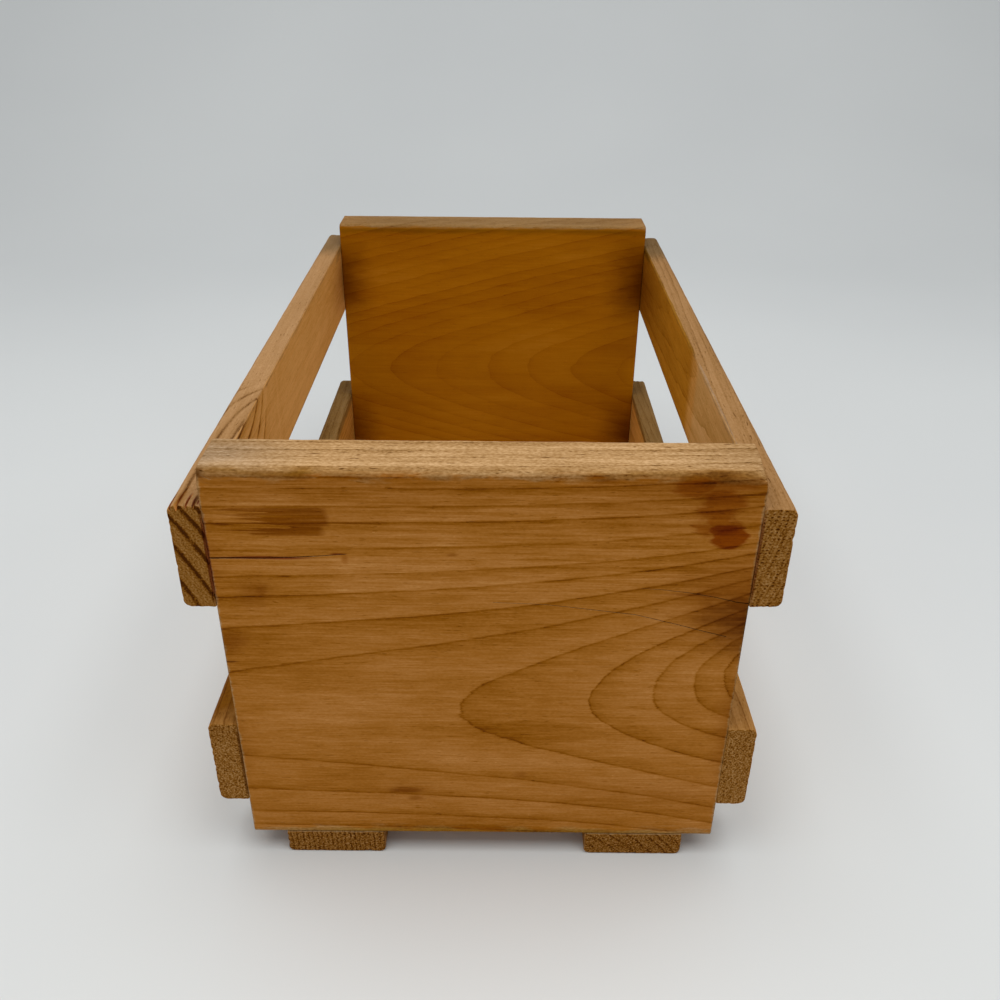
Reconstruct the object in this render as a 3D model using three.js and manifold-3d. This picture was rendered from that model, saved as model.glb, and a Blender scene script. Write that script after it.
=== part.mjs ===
// An open wooden crate for a shelf: two end boards, four side slats and two runners, all held by staples.
// Millimetres. +X is to the right as seen from the front, +Y runs to the rear and +Z is up.
// The origin is on the ground under the middle of the crate.
import * as THREE from 'three';
import { mergeVertices } from 'three/addons/utils/BufferGeometryUtils.js';
import Module from 'manifold-3d';

// The end boards, planed softwood with the grain lying level
const boardWidth = 155.6;
const boardHeight = 139.7;
const boardThickness = 20.6;
const boardTopRadius = 2.4;
const boardFootRadius = 1;

// The crate's length is the length of every slat and runner
const crateLength = 284.2;

// The slats on the outside of the boards' edges, ripped from one thin stock
const slatThickness = 9.5;
const slatWidth = 33.3;
const wideSlatWidth = 34.5;
const slatOuterRadius = 2.4;
const slatInnerRadius = 0.6;

// How far each slat lies below the boards' top or above the boards' foot, at the front
const upperLeftSetback = 11.2;
const upperRightSetback = 10.8;
const lowerLeftSetback = 15.1;
const lowerRightSetback = 14.8;

// How much higher each slat lies at the rear than at the front, as it was fixed by hand
const upperLeftRise = 0.8;
const upperRightRise = 0.2;
const lowerLeftRise = -2.2;
const lowerRightRise = -0.5;

// The two runners under the boards, and how far each lies in from the boards' edge
const runnerThickness = 9.5;
const runnerWidth = 33.3;
const runnerFootRadius = 2;
const runnerTopRadius = 0.6;
const leftRunnerSetback = 11;
const rightRunnerSetback = 9.7;

// The narrow-crown staples: flat wire bent into a U, with chisel points
const crownSpan = 6.4;
const wireThickness = 1;
const wireWidth = 1.3;
const legLength = 25;
const pointLength = 2;
const bendRadius = 0.8;

// How deep a crown is driven below the wood, and the room left round the wire
const crownSink = 0.6;
const stapleClearance = 0.3;
const overrun = 2;

// Two staples hold each joint. Each lies off the joint's middle by shares of the slat's width and
// of the board's thickness, and is turned a few degrees, as a hand-held tool leaves it.
const staplePlaces = [
  { tag: 'a', widthShare: 0.22, depthShare: 0.16, turnDegrees: 6 },
  { tag: 'b', widthShare: -0.24, depthShare: -0.14, turnDegrees: -4 },
];

// The number of straight steps on each rounded corner
const cornerSteps = 5;

// Colours and gloss of the varnished wood and the bright wire
const finishes = {
  endBoard: { color: 0x915f28, roughness: 0.5, metalness: 0 },
  slat: { color: 0x96693a, roughness: 0.55, metalness: 0 },
  runner: { color: 0x7d5a33, roughness: 0.6, metalness: 0 },
  wire: { color: 0x9a9a96, roughness: 0.4, metalness: 0.9 },
};

const wasm = await Module();
wasm.setup();

const right = new THREE.Vector3(1, 0, 0);
const rear = new THREE.Vector3(0, 1, 0);
const up = new THREE.Vector3(0, 0, 1);

// Solids: a closed surface becomes a solid that can be cut, and a cut solid a surface again
function toSolid(geometry) {
  const surface = geometry.clone();
  surface.deleteAttribute('normal');
  surface.deleteAttribute('uv');
  const merged = mergeVertices(surface);
  const vertProperties = merged.attributes.position.array;
  const triVerts = new Uint32Array(merged.index.array);
  return new wasm.Manifold(new wasm.Mesh({ numProp: 3, vertProperties, triVerts }));
}

function toGeometry(solid) {
  const { vertProperties, triVerts } = solid.getMesh();
  const geometry = new THREE.BufferGeometry();
  geometry.setAttribute('position', new THREE.BufferAttribute(vertProperties, 3));
  geometry.setIndex(new THREE.BufferAttribute(triVerts, 1));
  geometry.computeVertexNormals();
  return geometry;
}

// A rectangle about the origin whose corners have their own radii
function roundedRectangle(width, height, { lowLeft, lowRight, highRight, highLeft }) {
  const x = width / 2;
  const y = height / 2;
  const quarter = Math.PI / 2;
  const shape = new THREE.Shape();
  shape.moveTo(lowLeft - x, -y);
  shape.lineTo(x - lowRight, -y);
  shape.absarc(x - lowRight, lowRight - y, lowRight, -quarter, 0);
  shape.lineTo(x, y - highRight);
  shape.absarc(x - highRight, y - highRight, highRight, 0, quarter);
  shape.lineTo(highLeft - x, y);
  shape.absarc(highLeft - x, y - highLeft, highLeft, quarter, 2 * quarter);
  shape.lineTo(-x, lowLeft - y);
  shape.absarc(lowLeft - x, lowLeft - y, lowLeft, 2 * quarter, 3 * quarter);
  return shape;
}

// An outline extruded to both sides of its own plane
function extruded(shape, depth) {
  const geometry = new THREE.ExtrudeGeometry(shape, { depth, bevelEnabled: false, curveSegments: cornerSteps });
  geometry.translate(0, 0, -depth / 2);
  return geometry;
}

// End board: its outline is the section across the grain, extruded along the grain from side to side
function endBoardGeometry() {
  const outline = roundedRectangle(boardThickness, boardHeight, {
    lowLeft: boardFootRadius,
    lowRight: boardFootRadius,
    highRight: boardTopRadius,
    highLeft: boardTopRadius,
  });
  const geometry = extruded(outline, boardWidth);
  return geometry.applyMatrix4(new THREE.Matrix4().makeBasis(rear, up, right));
}

// Slat: the section is extruded from front to rear, and rises evenly on the way with its ends upright
function slatGeometry(width, side, rise) {
  const inner = slatInnerRadius;
  const outer = slatOuterRadius;
  const leftRadius = side < 0 ? outer : inner;
  const rightRadius = side < 0 ? inner : outer;
  const outline = roundedRectangle(slatThickness, width, {
    lowLeft: leftRadius,
    lowRight: rightRadius,
    highRight: rightRadius,
    highLeft: leftRadius,
  });
  const geometry = extruded(outline, crateLength);
  const front = rear.clone().negate();
  geometry.applyMatrix4(new THREE.Matrix4().makeBasis(right, up, front));
  const slope = rise / crateLength;
  return geometry.applyMatrix4(new THREE.Matrix4().makeShear(0, 0, 0, slope, 0, 0));
}

// Runner: eased along its two lower edges, where it slides on a shelf
function runnerGeometry() {
  const outline = roundedRectangle(runnerWidth, runnerThickness, {
    lowLeft: runnerFootRadius,
    lowRight: runnerFootRadius,
    highRight: runnerTopRadius,
    highLeft: runnerTopRadius,
  });
  const front = rear.clone().negate();
  return extruded(outline, crateLength).applyMatrix4(new THREE.Matrix4().makeBasis(right, up, front));
}

// Staple: the wire's outline seen from its broad side, with the crown's top on the origin and the legs down.
// Each leg ends in a chisel point whose long edge is on the inside, so the legs spread as they go in.
function stapleGeometry() {
  const outer = crownSpan / 2;
  const inner = outer - wireThickness;
  const shape = new THREE.Shape();
  shape.moveTo(-outer, pointLength - legLength);
  shape.lineTo(-inner, -legLength);
  shape.lineTo(-inner, -wireThickness);
  shape.lineTo(inner, -wireThickness);
  shape.lineTo(inner, -legLength);
  shape.lineTo(outer, pointLength - legLength);
  shape.lineTo(outer, -bendRadius);
  shape.absarc(outer - bendRadius, -bendRadius, bendRadius, 0, Math.PI / 2);
  shape.lineTo(bendRadius - outer, 0);
  shape.absarc(bendRadius - outer, -bendRadius, bendRadius, Math.PI / 2, Math.PI);
  return extruded(shape, wireWidth);
}

// Slot: the room that a staple takes in the wood, from above the surface down past its points
function slotGeometry() {
  const outer = crownSpan / 2 + stapleClearance;
  const inner = crownSpan / 2 - wireThickness - stapleClearance;
  const top = crownSink + overrun;
  const under = -wireThickness - stapleClearance;
  const bottom = -legLength - stapleClearance;
  const shape = new THREE.Shape();
  shape.moveTo(-outer, bottom);
  shape.lineTo(-inner, bottom);
  shape.lineTo(-inner, under);
  shape.lineTo(inner, under);
  shape.lineTo(inner, bottom);
  shape.lineTo(outer, bottom);
  shape.lineTo(outer, top);
  shape.lineTo(-outer, top);
  return extruded(shape, wireWidth + 2 * stapleClearance);
}

// Heights of the boards, which stand on the runners, and their places along the crate
const boardFoot = runnerThickness;
const boardTop = boardFoot + boardHeight;
const boardMiddle = (crateLength - boardThickness) / 2;
const boards = [
  { name: 'front_end_board', y: -boardMiddle },
  { name: 'rear_end_board', y: boardMiddle },
];

// The slats: side -1 is left and 1 is right, and height is that of the slat's middle at the front
const slats = [
  {
    name: 'upper_left_slat',
    side: -1,
    width: wideSlatWidth,
    height: boardTop - upperLeftSetback - wideSlatWidth / 2,
    rise: upperLeftRise,
  },
  {
    name: 'upper_right_slat',
    side: 1,
    width: slatWidth,
    height: boardTop - upperRightSetback - slatWidth / 2,
    rise: upperRightRise,
  },
  {
    name: 'lower_left_slat',
    side: -1,
    width: slatWidth,
    height: boardFoot + lowerLeftSetback + slatWidth / 2,
    rise: lowerLeftRise,
  },
  {
    name: 'lower_right_slat',
    side: 1,
    width: slatWidth,
    height: boardFoot + lowerRightSetback + slatWidth / 2,
    rise: lowerRightRise,
  },
];

const runners = [
  { name: 'left_runner', x: -boardWidth / 2 + leftRunnerSetback + runnerWidth / 2 },
  { name: 'right_runner', x: boardWidth / 2 - rightRunnerSetback - runnerWidth / 2 },
];

// A staple's place: outward is the way its crown faces, across is the way its crown runs
function stapleMatrix(outward, across, point, turnDegrees) {
  const turned = across.clone().applyAxisAngle(outward, THREE.MathUtils.degToRad(turnDegrees));
  const broadside = turned.clone().cross(outward);
  return new THREE.Matrix4().makeBasis(turned, outward, broadside).setPosition(point);
}

// Every joint gets its two staples, named after the piece they hold and the end they are at
const staples = [];
for (const board of boards) {
  const end = board.y < 0 ? 'front' : 'rear';
  for (const place of staplePlaces) {
    const y = board.y + place.depthShare * boardThickness * Math.sign(board.y);
    for (const slat of slats) {
      const outward = right.clone().multiplyScalar(slat.side);
      const x = slat.side * (boardWidth / 2 + slatThickness - crownSink);
      const climb = slat.rise * (y / crateLength + 1 / 2);
      const z = slat.height + climb + place.widthShare * slat.width;
      const matrix = stapleMatrix(outward, up, new THREE.Vector3(x, y, z), place.turnDegrees);
      staples.push({ name: `${slat.name}_${end}_staple_${place.tag}`, holds: slat.name, board, matrix });
    }
    for (const runner of runners) {
      const outward = up.clone().negate();
      const x = runner.x + place.widthShare * runnerWidth;
      const matrix = stapleMatrix(outward, right, new THREE.Vector3(x, y, crownSink), place.turnDegrees);
      staples.push({ name: `${runner.name}_${end}_staple_${place.tag}`, holds: runner.name, board, matrix });
    }
  }
}

// Cuts the slots of the given staples out of a piece that lies at the given place
const slot = slotGeometry();
function withSlots(geometry, position, ownStaples) {
  const toPiece = new THREE.Matrix4().makeTranslation(position.clone().negate());
  let solid = toSolid(geometry);
  for (const staple of ownStaples) {
    const cutter = slot.clone().applyMatrix4(toPiece.clone().multiply(staple.matrix));
    solid = solid.subtract(toSolid(cutter));
  }
  return toGeometry(solid);
}

const crate = new THREE.Group();

function addPiece(parent, name, geometry, finish, position) {
  const mesh = new THREE.Mesh(geometry, new THREE.MeshStandardMaterial(finish));
  mesh.name = name;
  mesh.position.copy(position);
  parent.add(mesh);
}

// The end boards with the blind slots in their edges and feet
for (const board of boards) {
  const position = new THREE.Vector3(0, board.y, boardFoot + boardHeight / 2);
  const own = staples.filter((staple) => staple.board === board);
  addPiece(crate, board.name, withSlots(endBoardGeometry(), position, own), finishes.endBoard, position);
}

// The slats, each flush with both boards' outer faces
for (const slat of slats) {
  // The shear is about the slat's middle, so its middle is half the rise above its front end
  const x = slat.side * (boardWidth + slatThickness) / 2;
  const position = new THREE.Vector3(x, 0, slat.height + slat.rise / 2);
  const own = staples.filter((staple) => staple.holds === slat.name);
  const geometry = slatGeometry(slat.width, slat.side, slat.rise);
  addPiece(crate, slat.name, withSlots(geometry, position, own), finishes.slat, position);
}

// The runners, which carry the boards and stand on the ground
for (const runner of runners) {
  const position = new THREE.Vector3(runner.x, 0, runnerThickness / 2);
  const own = staples.filter((staple) => staple.holds === runner.name);
  addPiece(crate, runner.name, withSlots(runnerGeometry(), position, own), finishes.runner, position);
}

// The staples, in a group of their own
const fasteners = new THREE.Group();
crate.add(fasteners);
for (const staple of staples) {
  addPiece(fasteners, staple.name, stapleGeometry(), finishes.wire, new THREE.Vector3());
  fasteners.children.at(-1).applyMatrix4(staple.matrix);
}

export default crate;
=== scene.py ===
# %% [markdown]
# # Dressing a small slatted crate
# The crate stands on a shelf and keeps things upright. Two solid end boards are joined by four side slats
# and two runners, and staples hold every joint. The CAD model already has all sizes and places right.
# This lesson gives each board its real outline, its grain and its years of handling.
#
# The first step loads the CAD model as a frame that nothing here moves. The alternative, importing the
# mesh and editing it, would lose the link between a piece and the part it stands for.

# %% Load the frame
import math

import bmesh
import bpy
import numpy as np
from mathutils import Matrix, Vector


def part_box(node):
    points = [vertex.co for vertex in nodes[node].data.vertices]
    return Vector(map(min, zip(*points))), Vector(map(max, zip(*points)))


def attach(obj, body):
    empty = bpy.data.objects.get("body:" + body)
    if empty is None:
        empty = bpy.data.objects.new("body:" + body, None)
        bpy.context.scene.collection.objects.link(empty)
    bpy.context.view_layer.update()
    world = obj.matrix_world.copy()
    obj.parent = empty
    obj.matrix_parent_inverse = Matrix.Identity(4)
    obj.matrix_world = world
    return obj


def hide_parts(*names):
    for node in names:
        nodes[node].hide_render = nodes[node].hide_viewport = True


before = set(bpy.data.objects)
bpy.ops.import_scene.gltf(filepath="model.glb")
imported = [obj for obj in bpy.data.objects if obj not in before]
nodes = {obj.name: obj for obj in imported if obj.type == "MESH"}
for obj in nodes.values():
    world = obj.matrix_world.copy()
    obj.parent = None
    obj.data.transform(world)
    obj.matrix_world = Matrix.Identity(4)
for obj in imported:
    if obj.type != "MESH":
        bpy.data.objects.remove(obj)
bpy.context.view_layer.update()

MM = 0.001

# %% [markdown]
# ## The camera
# The crate was photographed from a little above its front board, with a fairly wide lens held close, so
# the rear looks much smaller than the front. A camera could be placed by eye, but then every later
# comparison would be off by some pixels. These numbers come from fitting about 130 edge points of the
# photograph to the crate's box, so they are written down as found.

# %% Place the camera
LENS_PIXELS = 965.24
PICTURE_PIXELS = 1000
SENSOR_WIDTH = 36.0
TILT_DOWN = math.radians(29.848)
TURN_RIGHT = math.radians(0.035)
ROLL = math.radians(0.535)
EYE = Vector((4.684, -371.24, 272.10)) * MM


def aimed(tilt, turn, roll, eye):
    """The matrix of a camera that looks along +Y, turned right, tilted down and then rolled."""
    ahead = Vector((math.sin(turn) * math.cos(tilt), math.cos(turn) * math.cos(tilt), -math.sin(tilt)))
    level = Vector((math.cos(turn), -math.sin(turn), 0.0))
    above = level.cross(ahead)
    right = level * math.cos(roll) + above * math.sin(roll)
    up = above * math.cos(roll) - level * math.sin(roll)
    return Matrix.Translation(eye) @ Matrix((right, up, -ahead)).transposed().to_4x4()


camera_data = bpy.data.cameras.new("camera")
camera_data.sensor_width = SENSOR_WIDTH
camera_data.lens = LENS_PIXELS / PICTURE_PIXELS * SENSOR_WIDTH
camera_data.clip_start = 10 * MM
camera = bpy.data.objects.new("camera", camera_data)
camera.matrix_world = aimed(TILT_DOWN, TURN_RIGHT, ROLL, EYE)
bpy.context.scene.collection.objects.link(camera)
bpy.context.scene.camera = camera
bpy.context.scene.view_settings.view_transform = "Standard"
print("camera: lens", round(camera_data.lens, 2), "mm, eye at", [round(v, 4) for v in EYE])

# %% [markdown]
# ## A way to write node trees
# Wood takes dozens of nodes. Placing each by hand in long calls hides what it is for, so a small helper
# takes numbers, tuples or other sockets as values. A line of it reads like the sum that it does.


# %% The wiring helper
class Wiring:
    """Places nodes in a tree and feeds their sockets with numbers, tuples or other sockets."""

    def __init__(self, tree):
        self.tree = tree

    def feed(self, socket, value):
        if isinstance(value, bpy.types.NodeSocket):
            self.tree.links.new(value, socket)
        else:
            socket.default_value = value

    def node(self, kind, values=(), **settings):
        made = self.tree.nodes.new(kind)
        for name, setting in settings.items():
            setattr(made, name, setting)
        for key, value in dict(values).items():
            self.feed(made.inputs[key], value)
        return made

    def math(self, operation, *values):
        return self.node("ShaderNodeMath", enumerate(values), operation=operation).outputs[0]

    def vector(self, operation, *values):
        made = self.node("ShaderNodeVectorMath", enumerate(values), operation=operation)
        gives_number = operation in ("LENGTH", "DISTANCE", "DOT_PRODUCT")
        return made.outputs["Value" if gives_number else "Vector"]

    def scaled(self, point, factor):
        values = {"Vector": point, "Scale": factor}
        return self.node("ShaderNodeVectorMath", values, operation="SCALE").outputs[0]

    def parts(self, point):
        return self.node("ShaderNodeSeparateXYZ", {0: point}).outputs

    def point(self, x, y, z):
        return self.node("ShaderNodeCombineXYZ", {0: x, 1: y, 2: z}).outputs[0]

    def step(self, value, low, high):
        """0 below low, 1 above high, and a smooth rise between. With high under low it falls."""
        limits = {"Value": value, "From Min": low, "From Max": high}
        return self.node("ShaderNodeMapRange", limits, interpolation_type="SMOOTHSTEP").outputs[0]

    def noise(self, point, stretch, detail=2.0, wanted="Fac"):
        """Noise from 0 to 1 at point, with stretch giving how many waves there are to a millimetre."""
        values = {"Vector": self.vector("MULTIPLY", point, stretch), "Scale": 1.0, "Detail": detail}
        return self.node("ShaderNodeTexNoise", values).outputs[wanted]

    def shake(self, point, stretch, reach):
        """Three noises at once, as a push of up to about half of reach each way."""
        push = self.vector("SUBTRACT", self.noise(point, stretch, 2.0, "Color"), (0.5, 0.5, 0.5))
        return self.vector("MULTIPLY", push, reach)

    def curve(self, value, places):
        """A smooth curve through places, pairs of numbers from 0 to 1, which runs on straight beyond them."""
        made = self.node("ShaderNodeFloatCurve", {"Value": value})
        made.mapping.extend = "EXTRAPOLATED"
        points = made.mapping.curves[0].points
        while len(points) < len(places):
            points.new(0.5, 0.5)
        for point, place in zip(points, places):
            point.location = place
        made.mapping.update()
        return made.outputs[0]

    def weighted(self, start, *pairs):
        """start plus each socket times its weight."""
        total = start
        for socket, weight in pairs:
            total = self.math("MULTIPLY_ADD", socket, weight, total)
        return total

    def mix(self, share, first, second, blend="MIX"):
        made = self.node("ShaderNodeMix", data_type="RGBA", blend_type=blend)
        self.feed(made.inputs["Factor"], share)
        self.feed(made.inputs[6], first)
        self.feed(made.inputs[7], second)
        return made.outputs[2]

    def ramp(self, value, stops):
        made = self.node("ShaderNodeValToRGB", {"Fac": value})
        elements = made.color_ramp.elements
        while len(elements) < len(stops):
            elements.new(1.0)
        for element, (place, colour) in zip(elements, stops):
            element.position = place
            element.color = (*colour, 1.0)
        return made.outputs["Color"]

    def placed(self, tree, values):
        made = self.node("ShaderNodeGroup", node_tree=tree)
        for title, value in values.items():
            self.feed(made.inputs[title], value)
        return made.outputs


def effect(name, takes, gives):
    """A shader node group: takes gives each input's name and default, and gives lists the outputs."""
    tree = bpy.data.node_groups.new(name, "ShaderNodeTree")
    for title, value in takes.items():
        kind = "NodeSocketVector" if isinstance(value, tuple) else "NodeSocketFloat"
        tree.interface.new_socket(title, in_out="INPUT", socket_type=kind).default_value = value
    for title, kind in gives.items():
        tree.interface.new_socket(title, in_out="OUTPUT", socket_type=kind)
    wiring = Wiring(tree)
    print("effect:", name, "takes", len(takes), "values and gives", ", ".join(gives))
    return tree, wiring, wiring.node("NodeGroupInput").outputs, wiring.node("NodeGroupOutput").inputs


NUMBER = "NodeSocketFloat"
VECTOR = "NodeSocketVector"

# %% [markdown]
# ## Effect 1: a point on the plank
# Wood is one solid stuff: a growth line on a face carries on over the edge and shows again on the end.
# An image wrapped round a box breaks at every edge, so all patterns here are worked out from the point's
# own place in the plank, in millimetres, with X along the grain, Y through the thickness and Z across the
# width. Some slats were nailed on with a slight lean, and their points are set level first.


# %% Group: Plank point
plank_point, w, given, out = effect("Plank point", {"Lean": 0.0}, {"Point": VECTOR})
coordinates = w.node("ShaderNodeTexCoord").outputs["Object"]
x, y, z = w.parts(w.scaled(coordinates, 1.0 / MM))
w.feed(out["Point"], w.point(x, y, w.math("SUBTRACT", z, w.math("MULTIPLY", x, given["Lean"]))))

# %% [markdown]
# ## Effect 2: which way the plank faces
# Ends, top edges and the width of growth lines all depend on how the surface lies in the plank. The
# direction in the room is turned into the plank's own axes with two constants: where its grain runs, and
# which way its thickness points.

# %% Group: Plank normal
plank_normal, w, given, out = effect(
    "Plank normal", {"Grain": (1.0, 0.0, 0.0), "Through": (0.0, 1.0, 0.0)}, {"Normal": VECTOR}
)
normal = w.node("ShaderNodeNewGeometry").outputs["Normal"]
wide = w.vector("CROSS_PRODUCT", given["Grain"], given["Through"])
turned = [w.vector("DOT_PRODUCT", normal, way) for way in (given["Grain"], given["Through"], wide)]
w.feed(out["Normal"], w.point(*turned))

# %% [markdown]
# ## Effect 3: growth years
# A softwood tree adds a pale layer in spring and a thin dark one at summer's end, so a section of a trunk
# shows rings, a board cut beside the heart shows loops, and one cut far from it shows nearly straight
# lines. Wave textures can fake each of these alone. Here the real cause is used: the distance from the
# tree's heart line, the pith. The trunk tapers, and near a branch its inner layers swell and swing aside.
# Both grow quickly along the grain, up to a limit, and fade outwards, which is what closes the lines into
# loops.

# %% Group: Wavy point
wavy_point, w, given, out = effect(
    "Wavy point", {"Point": (0.0, 0.0, 0.0), "Wander": 1.0, "Seed": 0.0}, {"Point": VECTOR}
)
place = w.vector("ADD", given["Point"], w.scaled((13.7, 7.1, 29.3), given["Seed"]))
broad = w.shake(place, (0.014, 0.045, 0.045), (9.0, 2.6, 2.6))
close = w.shake(place, (0.07, 0.22, 0.22), (3.5, 1.0, 1.0))
ragged = w.shake(place, (0.30, 2.0, 2.0), (1.5, 0.22, 0.28))
wander = w.scaled(w.vector("ADD", broad, close), given["Wander"])
w.feed(out["Point"], w.vector("ADD", given["Point"], w.vector("ADD", wander, ragged)))

# %% Group: Pith distance
PITH_VALUES = {
    "Point": (0.0, 0.0, 0.0),
    "Pith Depth": -45.0,
    "Pith Height": 0.0,
    "Taper": 0.0,
    "Drift": 0.0,
    "Swell": 0.0,
    "Swing": 0.0,
    "From": 0.0,
    "Over": 30.0,
    "Swell Fade": 1000000.0,
    "Swing Fade": 1000000.0,
}
MOST_GROWTH = 6.0
pith_distance, w, given, out = effect("Pith distance", PITH_VALUES, {"Radius": NUMBER})
x, y, z = w.parts(given["Point"])
growth = w.math("EXPONENT", w.math("DIVIDE", w.math("SUBTRACT", x, given["From"]), given["Over"]))
growth = w.math("MINIMUM", growth, MOST_GROWTH)
depth = w.math("SUBTRACT", y, given["Pith Depth"])
height = w.math("SUBTRACT", z, given["Pith Height"])
plain = w.vector("LENGTH", w.point(0.0, depth, height))
fading = w.math("EXPONENT", w.math("DIVIDE", w.math("MULTIPLY", plain, -1.0), given["Swing Fade"]))
swung = w.weighted(w.math("MULTIPLY", x, given["Drift"]), (growth, given["Swing"]))
swung = w.math("MULTIPLY", swung, fading)
radius = w.vector("LENGTH", w.point(0.0, depth, w.math("SUBTRACT", height, swung)))
fading = w.math("EXPONENT", w.math("DIVIDE", w.math("MULTIPLY", radius, -1.0), given["Swell Fade"]))
swollen = w.weighted(w.math("MULTIPLY", x, given["Taper"]), (growth, given["Swell"]))
swollen = w.math("MULTIPLY", swollen, fading)
w.feed(out["Radius"], w.math("SUBTRACT", radius, swollen))

# %% [markdown]
# The years are counted by the radii at which they end, so each plank gets a list of them. A year's end is
# a line about half a millimetre wide wherever the surface cuts it. If the line were a share of the year,
# it would swell up wherever the surface runs nearly along a layer. So the group is given the years at three
# points a little further on, which say how fast the years pass by along the surface.

# %% Group: Growth lines
AHEAD = 0.3
growth_lines, w, given, out = effect(
    "Growth lines",
    {
        "Point": (0.0, 0.0, 0.0),
        "Normal": (0.0, 1.0, 0.0),
        "Years": 0.0,
        "Years Ahead": (0.0, 0.0, 0.0),
        "Line Width": 0.5,
        "Seed": 0.0,
    },
    {"Season": NUMBER, "Line": NUMBER, "Halo": NUMBER, "Year Tone": NUMBER},
)
place = w.vector("ADD", given["Point"], w.scaled((13.7, 7.1, 29.3), given["Seed"]))
here = w.point(given["Years"], given["Years"], given["Years"])
pace = w.scaled(w.vector("SUBTRACT", given["Years Ahead"], here), 1.0 / AHEAD)
sunk = w.scaled(given["Normal"], w.vector("DOT_PRODUCT", pace, given["Normal"]))
pace = w.math("MAXIMUM", w.vector("LENGTH", w.vector("SUBTRACT", pace, sunk)), 0.02)
season = w.math("FRACT", given["Years"])
to_line = w.math("DIVIDE", w.math("SUBTRACT", 1.0, season), pace)
past_line = w.math("DIVIDE", season, pace)
of_year = w.node(
    "ShaderNodeTexWhiteNoise",
    {"W": w.math("ADD", w.math("FLOOR", given["Years"]), given["Seed"])},
    noise_dimensions="1D",
)
strength = w.math("MULTIPLY_ADD", of_year.outputs["Value"], 0.5, 0.5)
patchy = w.math("MULTIPLY_ADD", w.step(w.noise(place, (0.05, 0.35, 0.35)), 0.34, 0.62), 0.45, 0.55)
near = w.math("MINIMUM", to_line, w.math("MULTIPLY", past_line, 1.7))
line = w.step(w.math("DIVIDE", near, given["Line Width"]), 1.25, 0.1)
halo = w.math("EXPONENT", w.math("DIVIDE", w.math("MULTIPLY", to_line, -1.0), 2.4))
w.feed(out["Season"], w.math("POWER", season, 2.5))
w.feed(out["Line"], w.math("MULTIPLY", line, w.math("MULTIPLY", strength, patchy)))
w.feed(out["Halo"], w.math("MULTIPLY", halo, w.math("MULTIPLY", strength, patchy)))
w.feed(out["Year Tone"], w.math("SUBTRACT", w.parts(of_year.outputs["Color"])[1], 0.5))

# %% [markdown]
# ## Effect 4: fibres
# Between the growth lines the surface is never plain. Planed softwood shows hair-thin streaks, threads of
# darker fibre, short dark dashes where resin ducts or torn fibres hold dirt, and a few pale flecks. All
# are long along the grain, so noise squeezed in that direction makes them, and the same noise gives fine
# dots on the sawn ends. Grain is the short, crumbly unevenness that shows most where varnish is rubbed off.

# %% Group: Fibres
fibres, w, given, out = effect(
    "Fibres",
    {"Point": (0.0, 0.0, 0.0), "Seed": 0.0},
    {"Streak": NUMBER, "Thread": NUMBER, "Dash": NUMBER, "Fleck": NUMBER, "Grain": NUMBER, "Mottle": NUMBER},
)
place = w.vector("ADD", given["Point"], w.scaled((41.3, 17.9, 5.7), given["Seed"]))
hair = w.noise(place, (0.11, 2.3, 2.3), 3.0)
patch = w.noise(place, (0.10, 0.35, 0.35), 3.0)
w.feed(out["Streak"], w.weighted(-0.5, (hair, 0.65), (patch, 0.35)))
w.feed(out["Thread"], w.math("SUBTRACT", w.noise(place, (0.026, 0.95, 0.95), 2.0), 0.5))
w.feed(out["Dash"], w.step(w.noise(place, (0.26, 2.1, 2.1), 1.0), 0.67, 0.75))
w.feed(out["Fleck"], w.step(w.noise(place, (0.7, 2.6, 2.6), 1.0), 0.735, 0.79))
w.feed(out["Grain"], w.math("SUBTRACT", w.noise(place, (0.85, 1.7, 1.7), 3.0), 0.5))
mottle = w.noise(place, (0.016, 0.035, 0.035), 3.0)
band = w.noise(place, (0.010, 0.15, 0.15), 2.0)
w.feed(out["Mottle"], w.weighted(-0.5, (mottle, 0.6), (band, 0.4)))

# %% [markdown]
# ## Effect 5: sawn ends
# A saw leaves the ends rough and open, the finish sinks in, and they dry darker than the faces. Crumbs are
# the torn cells, pits the open ones, and kerf lines the saw's marks. Where a coarse blade crosses open
# pores, they break out in a lattice: one way as wide as the layers of wood, the other as the blade's bite.

# %% Group: Sawn end
PORE_BITE = 1.0
PORE_STRETCH = 1.5
sawn_end, w, given, out = effect(
    "Sawn end",
    {
        "Point": (0.0, 0.0, 0.0),
        "Normal": (0.0, 1.0, 0.0),
        "Turn": 0.5,
        "Seed": 0.0,
    },
    {"End": NUMBER, "Crumbs": NUMBER, "Pits": NUMBER, "Kerf": NUMBER, "Pores": NUMBER},
)
w.feed(out["End"], w.step(w.math("ABSOLUTE", w.parts(given["Normal"])[0]), 0.62, 0.86))
place = w.vector("ADD", given["Point"], w.scaled((3.1, 23.3, 11.9), given["Seed"]))
w.feed(out["Crumbs"], w.math("SUBTRACT", w.noise(place, (0.2, 1.75, 1.75), 4.0), 0.5))
w.feed(out["Pits"], w.step(w.noise(place, (0.2, 2.3, 2.3), 2.0), 0.55, 0.68))
turn_values = {"Vector": place, "Angle": given["Turn"]}
turned = w.node("ShaderNodeVectorRotate", turn_values, rotation_type="X_AXIS").outputs[0]
w.feed(out["Kerf"], w.math("SUBTRACT", w.noise(turned, (0.05, 1.7, 0.22), 2.0), 0.5))
loose = w.shake(place, (0.1, 0.45, 0.45), (0.0, 1.5, 1.1))
_, across, _ = w.parts(w.vector("ADD", turned, loose))
_, _, along = w.parts(w.vector("ADD", place, loose))
turns = math.tau / PORE_BITE
rows = w.math("COSINE", w.math("MULTIPLY", along, turns))
columns = w.math("COSINE", w.math("MULTIPLY", across, turns / PORE_STRETCH))
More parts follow.
